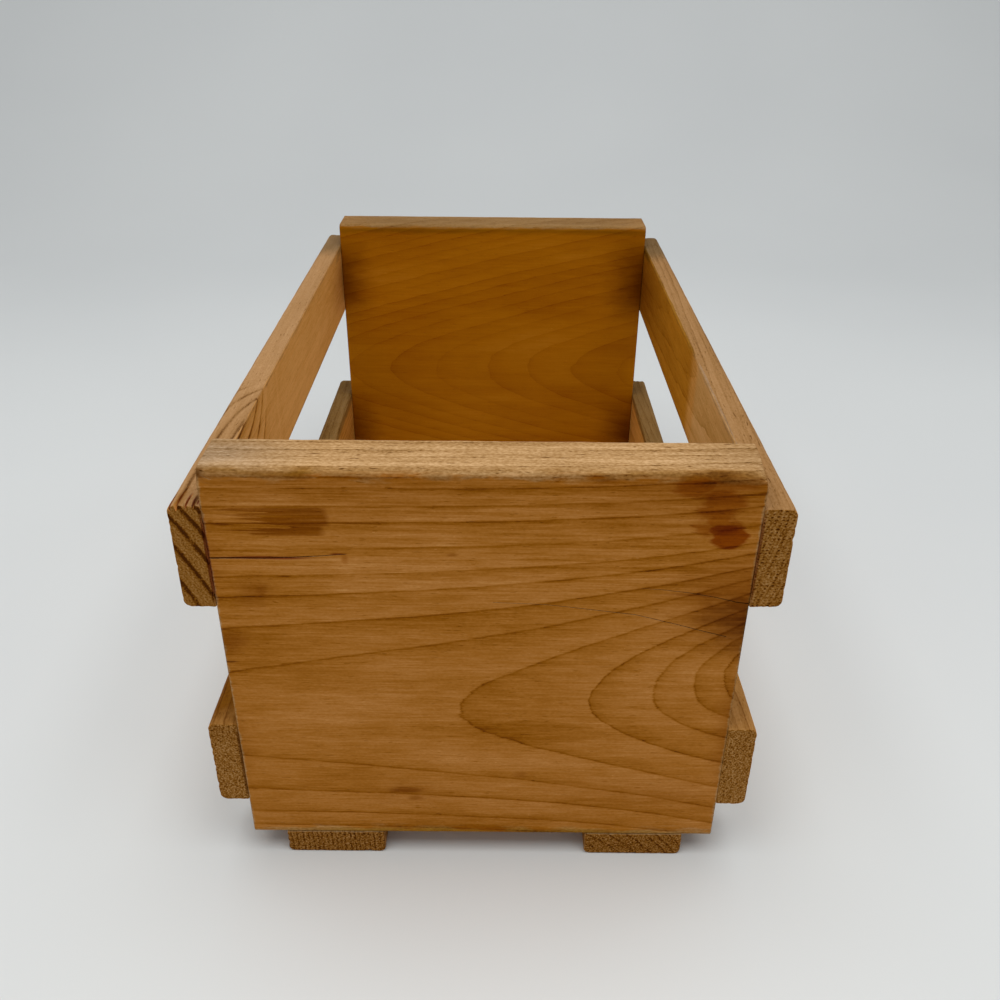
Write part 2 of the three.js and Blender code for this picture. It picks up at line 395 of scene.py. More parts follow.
chance = w.noise(place, (0.2, 1.2, 1.2))
lattice = w.weighted(0.0, (rows, 0.65), (columns, 0.45), (chance, 2.0))
w.feed(out["Pores"], w.step(lattice, 1.35, 1.9))

# %% [markdown]
# ## Effect 6: handling and sheen
# Hands and shelves rub a crate along its arrises and on its top edges, until the varnish is thin and the
# wood looks paler and drier. An arris is where two faces meet, so it is near a point whose second nearest
# face is near. That needs only the plank's half sizes, not a baked map. Top edges are found from the
# surface's direction in the room, and a slow noise lets the worn part run over the arris in waves. Their
# paleness is partly rubbed varnish and partly a painted sheen of the light from above. Reach is how far the
# rubbing goes from an arris, in millimetres. The sawn ends keep crisper arrises.

# %% Group: Handling and sheen
END_ARRIS_SHARPNESS = 4.0
handling_and_sheen, w, given, out = effect(
    "Handling and sheen",
    {"Point": (0.0, 0.0, 0.0), "Half Size": (50.0, 5.0, 20.0), "Reach": 2.0, "Seed": 0.0},
    {"Arris": NUMBER, "Upward": NUMBER},
)
gap = w.vector("SUBTRACT", given["Half Size"], w.vector("ABSOLUTE", given["Point"]))
a, b, c = w.parts(gap)
a = w.math("MULTIPLY", a, END_ARRIS_SHARPNESS)
least = w.math("MINIMUM", a, b)
most = w.math("MAXIMUM", a, b)
second = w.math("MAXIMUM", least, w.math("MINIMUM", most, c))
place = w.vector("ADD", given["Point"], w.scaled((9.9, 31.7, 2.3), given["Seed"]))
broken = w.noise(place, (0.12, 0.5, 0.5), 3.0)
reach = w.math("MULTIPLY", given["Reach"], w.math("MULTIPLY_ADD", broken, 2.4, -0.35))
w.feed(out["Arris"], w.step(w.math("DIVIDE", second, w.math("MAXIMUM", reach, 0.05)), 1.0, 0.25))
# Upward: top faces turn paler, partly rubbed varnish and partly a painted sheen of the light from above.
up = w.parts(w.node("ShaderNodeNewGeometry").outputs["Normal"])[2]
wave = w.math("SUBTRACT", w.noise(place, (0.09, 0.25, 0.25), 5.0), 0.5)
w.feed(out["Upward"], w.step(w.math("MULTIPLY_ADD", wave, 1.1, up), 0.45, 0.80))

# %% [markdown]
# ## Effect 7: stains
# Years leave spots: a brush that went over dry varnish, a reddish spill, fingers, soot in a corner. Each is
# an area round a centre with a ragged, grain-wise border. A painted mask would need an image, so the group
# measures the distance from the centre in units of the stain's own half sizes.

# %% Group: Ragged border
ragged_border, w, given, out = effect(
    "Ragged border", {"Point": (0.0, 0.0, 0.0), "Seed": 0.0}, {"Push": VECTOR, "Brush": NUMBER}
)
place = w.vector("ADD", given["Point"], w.scaled((5.3, 19.1, 37.7), given["Seed"]))
near_push = w.shake(place, (0.30, 0.9, 0.9), (3.0, 1.0, 1.0))
wide_push = w.shake(place, (0.07, 0.2, 0.2), (9.0, 3.2, 3.2))
w.feed(out["Push"], w.vector("ADD", near_push, wide_push))
w.feed(out["Brush"], w.math("SUBTRACT", w.noise(place, (0.02, 0.70, 0.70), 4.0), 0.5))

# %% [markdown]
# One ragged border serves all stains of a plank, and each takes its own share of it. A brush leaves a
# trail: its stroke starts with a straight edge and dries out into streaks, so only the trailing half of a
# brushed stain is drawn out along the grain.

# %% Group: Stain
stain, w, given, out = effect(
    "Stain",
    {
        "Point": (0.0, 0.0, 0.0),
        "Push": (0.0, 0.0, 0.0),
        "Brush": 0.0,
        "Centre": (0.0, 0.0, 0.0),
        "Half Size": (5.0, 5.0, 5.0),
        "Square": 0.0,
        "Softness": 0.5,
        "Ragged": 1.0,
        "Brushed": 0.0,
        "Streaks": 0.0,
    },
    {"Mask": NUMBER},
)
place = w.vector("ADD", given["Point"], w.scaled(given["Push"], given["Ragged"]))
away = w.vector("DIVIDE", w.vector("SUBTRACT", place, given["Centre"]), given["Half Size"])
a, b, c = w.parts(away)
trailing = w.math("MULTIPLY", w.step(a, 0.8, -0.2), given["Brushed"])
a = w.math("ABSOLUTE", w.math("MULTIPLY_ADD", given["Brush"], trailing, a))
b = w.math("ABSOLUTE", b)
c = w.math("ABSOLUTE", c)
boxed = w.math("MAXIMUM", w.math("MAXIMUM", a, b), c)
rounded = w.vector("LENGTH", w.point(a, b, c))
distance = w.weighted(rounded, (w.math("SUBTRACT", boxed, rounded), given["Square"]))
mask = w.step(distance, 1.0, w.math("SUBTRACT", 1.0, given["Softness"]))
bare = w.math("MULTIPLY", w.step(given["Brush"], -0.05, 0.13), given["Streaks"])
w.feed(out["Mask"], w.math("MULTIPLY", mask, w.math("SUBTRACT", 1.0, bare)))

# %% [markdown]
# ## One finish for every plank
# All pieces are softwood under an old clear varnish, so one function builds their materials. It adds up how
# deep the colour is at a point, from nearly nothing in spring wood to full in the growth lines, and a ramp
# of tones turns that into colour. Ramps keep the hue honest: darker wood is also redder and more saturated,
# which plain darkening would miss. Ends get their own ramp, and rubbed arrises and top edges a paler one,
# which on the top edges also stands for a painted sheen of the light from above.
#
# Stains multiply on top, grouped by tint. Within a group the strongest mark counts, so that marks which
# meet run together like one spill and don't darken each other. The old varnish is dull, and more shine
# would lay a grey veil over the wood in a room that is bright all round.


# %% Ring lists
def ring_radii(first, width, count, seed, spread=0.25):
    """Radii at which count years end, starting at first, with widths that vary by spread."""
    widths = width * (1 + spread * np.random.default_rng(seed).uniform(-1, 1, count))
    return [float(radius) for radius in first + np.cumsum(widths)]


def years_at(w, point, pith, radii):
    """The years at a point, as a number whose whole part counts the radii inside it."""
    radius = w.placed(pith_distance, {"Point": point, **pith})["Radius"]
    span = radii[-1] - radii[0]
    share = w.math("DIVIDE", w.math("SUBTRACT", radius, radii[0]), span)
    places = [((radius - radii[0]) / span, year / (len(radii) - 1)) for year, radius in enumerate(radii)]
    return w.math("MULTIPLY", w.curve(share, places), len(radii) - 1.0)


# %% The wood finish
DEPTHS = {
    "rest": 0.385,
    "mottle": 0.9,
    "year": 0.10,
    "season": 0.13,
    "line": 0.24,
    "halo": 0.15,
    "streak": 0.8,
    "thread": 0.5,
    "grain": 0.3,
    "dash": 0.2,
    "fleck": -0.25,
    "arris": 0.45,
    "upward": 0.9,
    "rubbed rest": 0.05,
    "rubbed streak": 0.0,
    "rubbed thread": 0.3,
    "rubbed grain": 0.6,
    "rubbed dash": 0.3,
    "end rest": 0.40,
    "end line": 0.5,
    "end crumbs": 2.7,
    "end pits": 0.3,
    "end kerf": 0.6,
    "end pores": 0.0,
}
LINES_FADE = 4.0
BUSY_FADE = 14.0
VARNISH_SHINE = 0.02
GRAIN_RELIEF = 0.1 * MM


def wood(name, axes, half_size, pith, radii, tones, rubbed, ends, seed, **options):
    """A varnished softwood material for one plank. Sizes are in millimetres, and axes are the ways in the
    room of its grain and its thickness. Options: lean, wander, line_width, turn and reach, as the effects
    take them, depths to change in DEPTHS, stains as (tint, marks) pairs, lines_until, the place along the
    grain where growth lines end, and busy_above, the height above which threads are stronger."""
    strength = DEPTHS | options.get("depths", {})
    stains = options.get("stains", ())
    material = bpy.data.materials.new(name)
    material.use_nodes = True
    w = Wiring(material.node_tree)
    shader = material.node_tree.nodes["Principled BSDF"]
    shader.inputs["Specular IOR Level"].default_value = VARNISH_SHINE
    point = w.placed(plank_point, {"Lean": options.get("lean", 0.0)})["Point"]
    normal = w.placed(plank_normal, {"Grain": axes[0], "Through": axes[1]})["Normal"]
    wavy = w.placed(wavy_point, {"Point": point, "Wander": options.get("wander", 1.0), "Seed": seed})["Point"]
    steps = ((AHEAD, 0, 0), (0, AHEAD, 0), (0, 0, AHEAD))
    ahead = w.point(*(years_at(w, w.vector("ADD", wavy, step), pith, radii) for step in steps))
    line_values = {"Point": point, "Normal": normal, "Years": years_at(w, wavy, pith, radii)}
    line_values |= {"Years Ahead": ahead, "Line Width": options.get("line_width", 0.5), "Seed": seed}
    ring = w.placed(growth_lines, line_values)
    fibre = w.placed(fibres, {"Point": point, "Seed": seed})
    end_values = {"Point": point, "Normal": normal, "Turn": options.get("turn", 0.5), "Seed": seed}
    end = w.placed(sawn_end, end_values)
    reach = options.get("reach", 2.0)
    hand = w.placed(handling_and_sheen, {"Point": point, "Half Size": half_size, "Reach": reach, "Seed": seed})

    lines = w.weighted(0.0, *((ring[name.title()], strength[name]) for name in ("season", "line", "halo")))
    if "lines_until" in options:
        until = options["lines_until"]
        lines = w.math("MULTIPLY", lines, w.step(w.parts(point)[0], until + LINES_FADE, until - LINES_FADE))
    thread = fibre["Thread"]
    if "busy_above" in options:
        above = options["busy_above"]
        busy = w.step(w.parts(point)[2], above - BUSY_FADE, above + BUSY_FADE)
        thread = w.math("MULTIPLY", thread, w.weighted(0.6, (busy, 0.75)))
    depth = w.weighted(
        strength["rest"],
        (lines, 1.0),
        (fibre["Mottle"], strength["mottle"]),
        (ring["Year Tone"], strength["year"]),
        (fibre["Streak"], strength["streak"]),
        (thread, strength["thread"]),
        (fibre["Grain"], strength["grain"]),
        (fibre["Dash"], strength["dash"]),
        (fibre["Fleck"], strength["fleck"]),
    )
    rubbed_depth = w.weighted(
        strength["rubbed rest"],
        (depth, 0.8),
        (fibre["Streak"], strength["rubbed streak"]),
        (fibre["Thread"], strength["rubbed thread"]),
        (fibre["Grain"], strength["rubbed grain"]),
        (fibre["Dash"], strength["rubbed dash"]),
    )
    # The paler tone on top edges is partly a painted sheen of the overhead light, and on arrises rubbed
    # varnish.
    rubbing_and_sheen = w.math("MULTIPLY", hand["Arris"], strength["arris"])
    rubbing_and_sheen = w.math("MAXIMUM", rubbing_and_sheen, w.math("MULTIPLY", hand["Upward"], strength["upward"]))
    colour = w.mix(rubbing_and_sheen, w.ramp(depth, tones), w.ramp(rubbed_depth, rubbed))
    end_depth = w.weighted(
        strength["end rest"],
        (ring["Season"], 0.10),
        (ring["Line"], strength["end line"]),
        (end["Crumbs"], strength["end crumbs"]),
        (end["Pits"], strength["end pits"]),
        (end["Kerf"], strength["end kerf"]),
        (end["Pores"], strength["end pores"]),
    )
    colour = w.mix(end["End"], colour, w.ramp(end_depth, ends))
    border = w.placed(ragged_border, {"Point": point, "Seed": seed})
    edge = {"Point": point, "Push": border["Push"], "Brush": border["Brush"]}
    for tint, marks in stains:
        most = 0.0
        for shape, amount in marks:
            mask = w.placed(stain, edge | shape)["Mask"]
            most = w.math("MAXIMUM", w.math("MULTIPLY", mask, amount), most)
        colour = w.mix(most, colour, (*tint, 1.0), "MULTIPLY")
    w.feed(shader.inputs["Base Color"], colour)

    rough = w.weighted(0.42, (fibre["Streak"], 0.25), (rubbing_and_sheen, 0.16), (end["End"], 0.3))
    w.feed(shader.inputs["Roughness"], w.weighted(rough, (ring["Line"], 0.08)))
    face_height = w.weighted(0.0, (fibre["Streak"], 0.5), (fibre["Grain"], 0.3), (fibre["Dash"], -0.8))
    end_height = w.weighted(0.0, (end["Crumbs"], -2.4), (end["Kerf"], 0.8), (end["Pores"], -1.2))
    height = w.node("ShaderNodeMix", data_type="FLOAT")
    w.feed(height.inputs["Factor"], end["End"])
    w.feed(height.inputs[2], face_height)
    w.feed(height.inputs[3], end_height)
    bump_values = {"Height": height.outputs[0], "Strength": 0.8, "Distance": GRAIN_RELIEF}
    bump = w.node("ShaderNodeBump", bump_values)
    w.feed(shader.inputs["Normal"], bump.outputs["Normal"])
    count = len(material.node_tree.nodes)
    print("material:", name, "with", count, "nodes and", len(stains), "tints of stain")
    return material


# %% [markdown]
# ## The shape of a planed board
# A real board isn't a box. Its long arrises are rounded by the planer and by hands, each by a little more
# here and less there, and its sawn ends are only just eased. A cube with a bevel would make every arris
# the same, so the board is built as rows of outlines along the grain. Each outline is a rectangle with
# four round corners whose radii change from row to row, and the two ends are closed with a net of faces.


# %% Outlines along the grain
ARC_STEPS = 4
END_STEPS = 4


def ripple(place, seed, spacing):
    """A smooth wave along a line, about -1 to 1, made of three seeded sines."""
    picks = np.random.default_rng(seed)
    wave = np.zeros_like(place)
    for share, weight in ((1.0, 0.5), (0.57, 0.3), (0.31, 0.2)):
        length = spacing * share * picks.uniform(0.9, 1.1)
        wave += weight * np.sin(math.tau * (place / length + picks.uniform(0, 1)))
    return wave


def worn_radius(base, places, seed, waves):
    """An arris radius that swings about base. A wave is its share of base, its spacing and a seed step."""
    swing = sum(share * ripple(places, seed + step, spacing) for share, spacing, step in waves)
    return base * (1 + swing)


def rows_along(length, spacing, ease):
    """Places of the outlines along the grain, and how far each is drawn in to ease the sawn ends."""
    turn = np.linspace(math.pi / 2, 0, END_STEPS + 1)
    end = length / 2 - ease + ease * np.sin(turn)
    middle = np.linspace(-length / 2 + ease, length / 2 - ease, round(length / spacing) + 1)[1:-1]
    places = np.concatenate([-end, middle, end[::-1]])
    drawn_in = np.concatenate([ease - ease * np.cos(turn), 0 * middle, (ease - ease * np.cos(turn))[::-1]])
    return places, drawn_in


def side_of_outline(half_out, half_along, radius_from, radius_to, steps):
    """One side of every outline, from arris to arris, as distances (out, along) from the centre."""
    turn = np.linspace(math.pi / 4, 0, ARC_STEPS + 1)
    share = np.linspace(0, 1, steps + 1)[1:-1]
    out_from = half_out[:, None] - radius_from[:, None] * (1 - np.cos(turn))
    along_from = -half_along[:, None] + radius_from[:, None] * (1 - np.sin(turn))
    out_to = half_out[:, None] - radius_to[:, None] * (1 - np.cos(turn[::-1]))
    along_to = half_along[:, None] - radius_to[:, None] * (1 - np.sin(turn[::-1]))
    straight = along_from[:, -1:] * (1 - share) + along_to[:, :1] * share
    out = np.concatenate([out_from, half_out[:, None] + 0 * straight, out_to], 1)
    along = np.concatenate([along_from, straight, along_to], 1)
    return np.stack([out, along], -1)


def outlines(places, drawn_in, thickness, width, radii, spacing):
    """All outline points, shape (rows, points, 3), and how many steps there are up and across a side.
    radii holds the arris radii at every row, in the order +Y-Z, +Y+Z, -Y+Z, -Y-Z."""
    half_y = thickness / 2 - drawn_in
    half_z = width / 2 - drawn_in
    steps_z = max(2, round(width / spacing))
    steps_y = max(2, round(thickness / spacing))
    low_right, high_right, high_left, low_left = radii
    right = side_of_outline(half_y, half_z, low_right, high_right, steps_z)[:, :-1]
    top = side_of_outline(half_z, half_y, high_right, high_left, steps_y)[:, :-1]
    left = side_of_outline(half_y, half_z, high_left, low_left, steps_z)[:, :-1]
    foot = side_of_outline(half_z, half_y, low_left, low_right, steps_y)[:, :-1]
    flat = [right, top[..., ::-1] * (-1, 1), -left, foot[..., ::-1] * (1, -1)]
    points = np.concatenate(flat, 1)
    rows = np.broadcast_to(places[:, None, None], (*points.shape[:2], 1))
    return np.concatenate([rows, points], -1), steps_z + 2 * ARC_STEPS, steps_y + 2 * ARC_STEPS


# %% [markdown]
# The net on a sawn end takes its border from the outline and fills the inside with a blend of the four
# sides, which is called a Coons patch. One big polygon would also close the hole, but a net can be dented
# and shades evenly.


# %% The net on a sawn end
def end_net(outline, first, next_free, up, across):
    """Inner points and faces that close one outline. up and across are its step counts."""
    count = len(outline)
    grid = np.zeros((across + 1, up + 1), int)
    grid[across, :] = np.arange(up + 1)
    grid[::-1, up] = up + np.arange(across + 1)
    grid[0, ::-1] = up + across + np.arange(up + 1)
    grid[:, 0] = (2 * up + across + np.arange(across + 1)) % count
    u = np.linspace(0, 1, across + 1)[1:-1, None, None]
    v = np.linspace(0, 1, up + 1)[None, 1:-1, None]
    border = outline[grid]
    inner = (1 - v) * border[1:-1, :1] + v * border[1:-1, -1:]
    inner = inner + (1 - u) * border[:1, 1:-1] + u * border[-1:, 1:-1]
    inner = inner - (1 - u) * (1 - v) * border[0, 0] - u * (1 - v) * border[-1, 0]
    inner = inner - (1 - u) * v * border[0, -1] - u * v * border[-1, -1]
    grid = grid + first
    grid[1:-1, 1:-1] = next_free + np.arange((across - 1) * (up - 1)).reshape(across - 1, up - 1)
    faces = np.stack([grid[:-1, :-1], grid[1:, :-1], grid[1:, 1:], grid[:-1, 1:]], -1).reshape(-1, 4)
    return inner.reshape(-1, 3), faces


def board_mesh(places, drawn_in, thickness, width, radii, spacing):
    """Points and faces of a closed board."""
    rows, up, across = outlines(places, drawn_in, thickness, width, radii, spacing)
    total, around = rows.shape[:2]
    number = np.arange(total * around).reshape(total, around)
    ahead = np.roll(number, -1, 1)
    sides = np.stack([number[:-1], ahead[:-1], ahead[1:], number[1:]], -1).reshape(-1, 4)
    near, near_faces = end_net(rows[0], 0, total * around, up, across)
    far, far_faces = end_net(rows[-1], (total - 1) * around, total * around + len(near), up, across)
    points = np.concatenate([rows.reshape(-1, 3), near, far])
    faces = np.concatenate([sides, near_faces[:, ::-1], far_faces])
    return points, faces


# %% [markdown]
# A dent presses fibres in and leaves the surface whole, so it only moves points. The push fades with the
# distance from the dent's middle, measured along each axis by the dent's own size. The same push makes the
# small nicks that a saw tears out round the ends. Their places are drawn with a seed, so that every run
# gives the same board.


# %% Dents, and the finished object
def dent(points, centre, size, push):
    """Moves points near centre by push. All in metres, in the board's own axes."""
    away = (points - np.array(centre)) / np.array(size)
    return points + np.exp(-(away**2).sum(1))[:, None] * np.array(push)


NICK_SIZE = (0.8 * MM, 0.6 * MM, 0.6 * MM)
LEAST_NICK = 0.10
MOST_NICK = 0.28
ON_WIDE_SIDE_SHARE = 0.7


def frayed(points, count, seed):
    """Small nicks round both sawn ends, where the saw tore fibres out. They only press inwards."""
    picks = np.random.default_rng(seed)
    half = np.abs(points).max(0)
    for _ in range(count):
        end, side = picks.choice((-1, 1), 2)
        along = picks.uniform(-1, 1)
        on_wide_side = picks.random() < ON_WIDE_SIDE_SHARE
        y, z = (side, along) if on_wide_side else (along, side)
        centre = np.array((end, y, z)) * half
        inwards = np.array((0, -side * on_wide_side, -side * (not on_wide_side)))
        points = dent(points, centre, NICK_SIZE, inwards * picks.uniform(LEAST_NICK, MOST_NICK) * MM)
    return points


def planed(name, points, faces, place, material):
    """The mesh object of one board, placed in the crate, with smooth faces and crisp sawn ends."""
    mesh = bpy.data.meshes.new(name)
    mesh.from_pydata(points.tolist(), [], faces.tolist())
    mesh.validate()
    mesh.polygons.foreach_set("use_smooth", [True] * len(mesh.polygons))
    mesh.materials.append(material)
    board = bpy.data.objects.new(name, mesh)
    board.matrix_world = place
    bpy.context.scene.collection.objects.link(board)
    low, high = points.min(0) / MM, points.max(0) / MM
    print("board:", name, len(faces), "faces, size in mm", [round(float(v), 2) for v in high - low])
    return board


# %% [markdown]
# ## Cutting slots and cracks
# A staple lies in a slot of its own shape, and a crack is a thin wedge driven in from the end. Both break
# the surface open, which moved points can't show, so they are cut with a Boolean. The cutters are plain
# closed meshes in the crate's own axes. A Boolean takes the side that faces point to as the outside, and
# with faces turned inwards it cuts nothing and says nothing. So each cutter's faces are first set to point
# outwards, whichever way its outline was drawn.


# %% The cut
SHARP_ANGLE = math.radians(38)


def cut(board, points, faces):
    """Takes the closed mesh out of the board, then marks the new edges as sharp."""
    mesh = bpy.data.meshes.new("cutter")
    mesh.from_pydata([tuple(p) for p in points], [], [tuple(f) for f in faces])
    turned = bmesh.new()
    turned.from_mesh(mesh)
    bmesh.ops.recalc_face_normals(turned, faces=turned.faces)
    turned.to_mesh(mesh)
    turned.free()
    cutter = bpy.data.objects.new("cutter", mesh)
    bpy.context.scene.collection.objects.link(cutter)
    modifier = board.modifiers.new("cut", "BOOLEAN")
    modifier.operation = "DIFFERENCE"
    modifier.solver = "EXACT"
    modifier.object = cutter
    ready = board.evaluated_get(bpy.context.evaluated_depsgraph_get())
    result = bpy.data.meshes.new_from_object(ready)
    before = len(board.data.polygons)
    board.modifiers.remove(modifier)
    old = board.data
    board.data = result
    result.name = board.name
    bpy.data.meshes.remove(old)
    bpy.data.objects.remove(cutter)
    result.polygons.foreach_set("use_smooth", [True] * len(result.polygons))
    result.set_sharp_from_angle(angle=SHARP_ANGLE)
    print("cut:", board.name, "went from", before, "to", len(result.polygons), "faces")


def prism(outline, half_depth, across, outward, sideways, centre):
    """A closed solid: an outline of (across, outward) points, thickened both ways along sideways."""
    points = []
    for side in (-half_depth, half_depth):
        points += [centre + across * a + outward * o + sideways * side for a, o in outline]
    count = len(outline)
    ring = range(count)
    faces = [tuple(reversed(ring)), tuple(n + count for n in ring)]
    faces += [(n, (n + 1) % count, (n + 1) % count + count, n + count) for n in ring]
    return points, faces


# %% [markdown]
# ## Slots for the staples
# Every staple is already in the frame, at its own slight turn, so its slot is worked out from the staple's
# mesh: the longest way across the crown, the way outwards, and what is left. The slot follows the wire's
# U, a hair wider, and runs on past the wood's surface.

# %% Slots worked out from the staples
WIRE_THICKNESS = 1.0 * MM
SLOT_ROOM = 0.12 * MM
SLOT_OVERRUN = 2.0 * MM


def slot_for(staple, outward):
    """The slot's closed mesh for one staple whose crown faces outward."""
    own = np.array([vertex.co for vertex in nodes[staple].data.vertices])
    out_axis = np.array(outward, float)
    height = own @ out_axis
    flat = own - height[:, None] * out_axis
    middle = (flat.min(0) + flat.max(0)) / 2
    _, _, axes = np.linalg.svd(flat - flat.mean(0), full_matrices=False)
    across, sideways = axes[0], np.cross(out_axis, axes[0])
    half_span = np.abs((flat - middle) @ across).max() + SLOT_ROOM
    half_wire = np.abs((flat - middle) @ sideways).max() + SLOT_ROOM
    top = height.max() + SLOT_OVERRUN
    under = height.max() - WIRE_THICKNESS - SLOT_ROOM
    foot = height.min() - SLOT_ROOM
    inner = half_span - WIRE_THICKNESS - 2 * SLOT_ROOM
    outline = [(-half_span, foot), (-inner, foot), (-inner, under), (inner, under), (inner, foot)]
    outline += [(half_span, foot), (half_span, top), (-half_span, top)]
    return prism(outline, half_wire, across, out_axis, sideways, middle)


def slots_for(piece_names, board_end=None):
    """The joined slots of all staples that hold the named slats and runners, at one end or both."""
    points, faces = [], []
    for staple in sorted(name for name in nodes if "_staple_" in name):
        holds, rest = staple.split("_staple_")[0].rsplit("_", 1)
        if holds not in piece_names or (board_end and rest != board_end):
            continue
        outward = (0, 0, -1) if "runner" in holds else (-1, 0, 0) if "left" in holds else (1, 0, 0)
        new_points, new_faces = slot_for(staple, outward)
        faces += [tuple(n + len(points) for n in face) for face in new_faces]
        points += new_points
    return points, faces


SLATS = ("upper_left_slat", "upper_right_slat", "lower_left_slat", "lower_right_slat")
RUNNERS = ("left_runner", "right_runner")
print("slots:", len(slots_for(SLATS + RUNNERS)[1]) // 10, "staple slots to cut")

# %% [markdown]
# ## The front board
# This is the board that everyone sees: one wide plank with loops of grain opening to the right, darkened
# by age, with a brushed patch, a reddish spill, a split driven in by the upper left slat's staples and a
# strongly rubbed top arris. Its sizes come from the CAD node, and its pith line was found by tracing the
# growth lines in the photograph and solving for the slant that gives those loops. The arris radii swing
# slowly, as the planer ran, and quickly, as knocks and rubbing went.

# %% Shape of the front board
BOARD_SPACING = 1.6 * MM
SAWN_EASE = 0.45 * MM
TOP_ROUND = 2.4 * MM
FOOT_ROUND = 1.0 * MM
BOARD_ARRISES = (FOOT_ROUND, TOP_ROUND, TOP_ROUND, FOOT_ROUND)
BOARD_WAVES = ((0.08, 34 * MM, 0), (0.04, 9 * MM, 9))


def board_between(node):
    """Middle and sizes of a node's box."""
    low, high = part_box(node)
    return (low + high) / 2, high - low


def end_board(node, seed, material):
    """An end board with its four long arrises worn unevenly."""
    middle, size = board_between(node)
    places, drawn_in = rows_along(size.x, BOARD_SPACING, SAWN_EASE)
    radii = [worn_radius(base, places, seed + n, BOARD_WAVES) for n, base in enumerate(BOARD_ARRISES)]
    points, faces = board_mesh(places, drawn_in, size.y, size.z, radii, BOARD_SPACING)
    return points, faces, Matrix.Translation(middle)


front_middle, front_size = board_between("front_end_board")
FACE = -front_size.y / 2 / MM
BOARD_HALF = tuple(v / 2 / MM for v in front_size)
print("front board: middle in mm", [round(v / MM, 2) for v in front_middle])

# %% [markdown]
# The years come from the traced lines too, wide near the pith and narrow outside. Each tone goes from pale
# spring wood to a growth line, and each tint is what a stain multiplies the wood's colour by.

# %% Years, tones and tints
BOARD_AXES = ((1.0, 0.0, 0.0), (0.0, 1.0, 0.0))
FRONT_PITH = {
    "Pith Depth": -59.1,
    "Pith Height": -15.2,
    "Taper": 0.515,
    "Drift": 1.43,
    "Swell": 412.7,
    "Swing": 519.0,
    "From": 70.0,
    "Over": 34.15,
    "Swell Fade": 18.58,
    "Swing Fade": 13.23,
}
FRONT_RADII = (5.5, 13.3, 21.0, 29.0, 37.5, 46.0, 54.0, 60.4, 66.7, 71.2, 77.6, 84.4, 88.7, 93.5)
FRONT_RADII += (96.5, 99.5, 102.5, 105.0, 108.0, 111.0, 114.0)
FRONT_TONES = (
    (0.00, (0.610, 0.290, 0.0850)),
    (0.20, (0.495, 0.205, 0.0460)),
    (0.42, (0.405, 0.150, 0.0190)),
    (0.65, (0.300, 0.097, 0.0030)),
    (0.85, (0.200, 0.054, 0.0008)),
    (1.00, (0.100, 0.022, 0.0004)),
)
# Pale tones of rubbed arrises, also used on top edges, where they are partly a painted sheen of the light
# from above.
RUBBED_AND_SHEEN_TONES = (
    (0.00, (0.560, 0.360, 0.185)),
    (0.20, (0.470, 0.292, 0.138)),
    (0.42, (0.385, 0.228, 0.098)),
    (0.70, (0.285, 0.156, 0.055)),
    (0.88, (0.180, 0.085, 0.022)),
    (1.00, (0.090, 0.035, 0.006)),
)
END_TONES = (
    (0.00, (0.420, 0.220, 0.075)),
    (0.25, (0.330, 0.150, 0.034)),
    (0.50, (0.250, 0.100, 0.012)),
    (0.75, (0.165, 0.052, 0.003)),
    (1.00, (0.070, 0.018, 0.001)),
)
BROWN = (0.60, 0.45, 0.10)
GOLD = (0.96, 0.88, 0.30)
BRUSHED = (0.56, 0.41, 0.05)
SPILL = (0.66, 0.45, 0.04)
SPOT = (0.58, 0.31, 0.01)
# Soot and dirt, also used as painted shade in the crate's inner corners and along a seam.
SOOT_AND_SHADE = (0.36, 0.25, 0.10)
DARK_RED = (0.38, 0.16, 0.12)
GREY = (0.72, 0.79, 1.00)
DULL = (0.85, 0.85, 0.86)
# Grey tint that darkens tops: painted shade together with dust.
DUST_AND_SHADE = (0.50, 0.55, 0.57)
print("front board:", len(FRONT_RADII), "years, up to", FRONT_RADII[-1], "mm from the pith")

# %% [markdown]
# A stain is placed in millimetres from the board's middle, so each can be checked against the photograph.
# Painted shade and dirt inside the wood start just under the face and show only where a crack opens it,
# darkening its walls, which saves a second material for the cracks.


# %% Placing a stain
def mark(centre, half_size, amount, deep=4.0, behind=0.0, **shape):
    """One stain. Centre and half sizes are (x, z) in millimetres. It lies behind the front face by a
    distance, and reaches that deep to both sides of it."""
    titles = {title.capitalize(): value for title, value in shape.items()}
    place = {"Centre": (centre[0], FACE + behind, centre[1]), "Half Size": (half_size[0], deep, half_size[1])}
    return place | titles, amount


def inside(centre, half_size):
    """Painted shade and dirt inside the wood, from just under the front face to well behind it, which darken
    the cracks' walls.
    """
    return mark(centre, half_size, 1.0, deep=6.0, behind=6.08, square=1.0, softness=0.02, ragged=0.0)


def end_seam(side, height, amount, half_wide, half_height):
    """The dark line along a slat, at the board's end on the side -1 or 1: a painted shadow of the joint's
    gap.
    """
    size = (half_wide, half_height)
    return mark((side * 78.0, height), size, amount, square=1.0, softness=0.5, ragged=0.06)


def speck(x, behind, half_long):
    """A short dark pore on the top edge, at a distance behind the front face."""
    return mark((x, 69.8), (half_long, 1.2), 0.9, deep=0.45, behind=behind, softness=0.8, ragged=0.1)
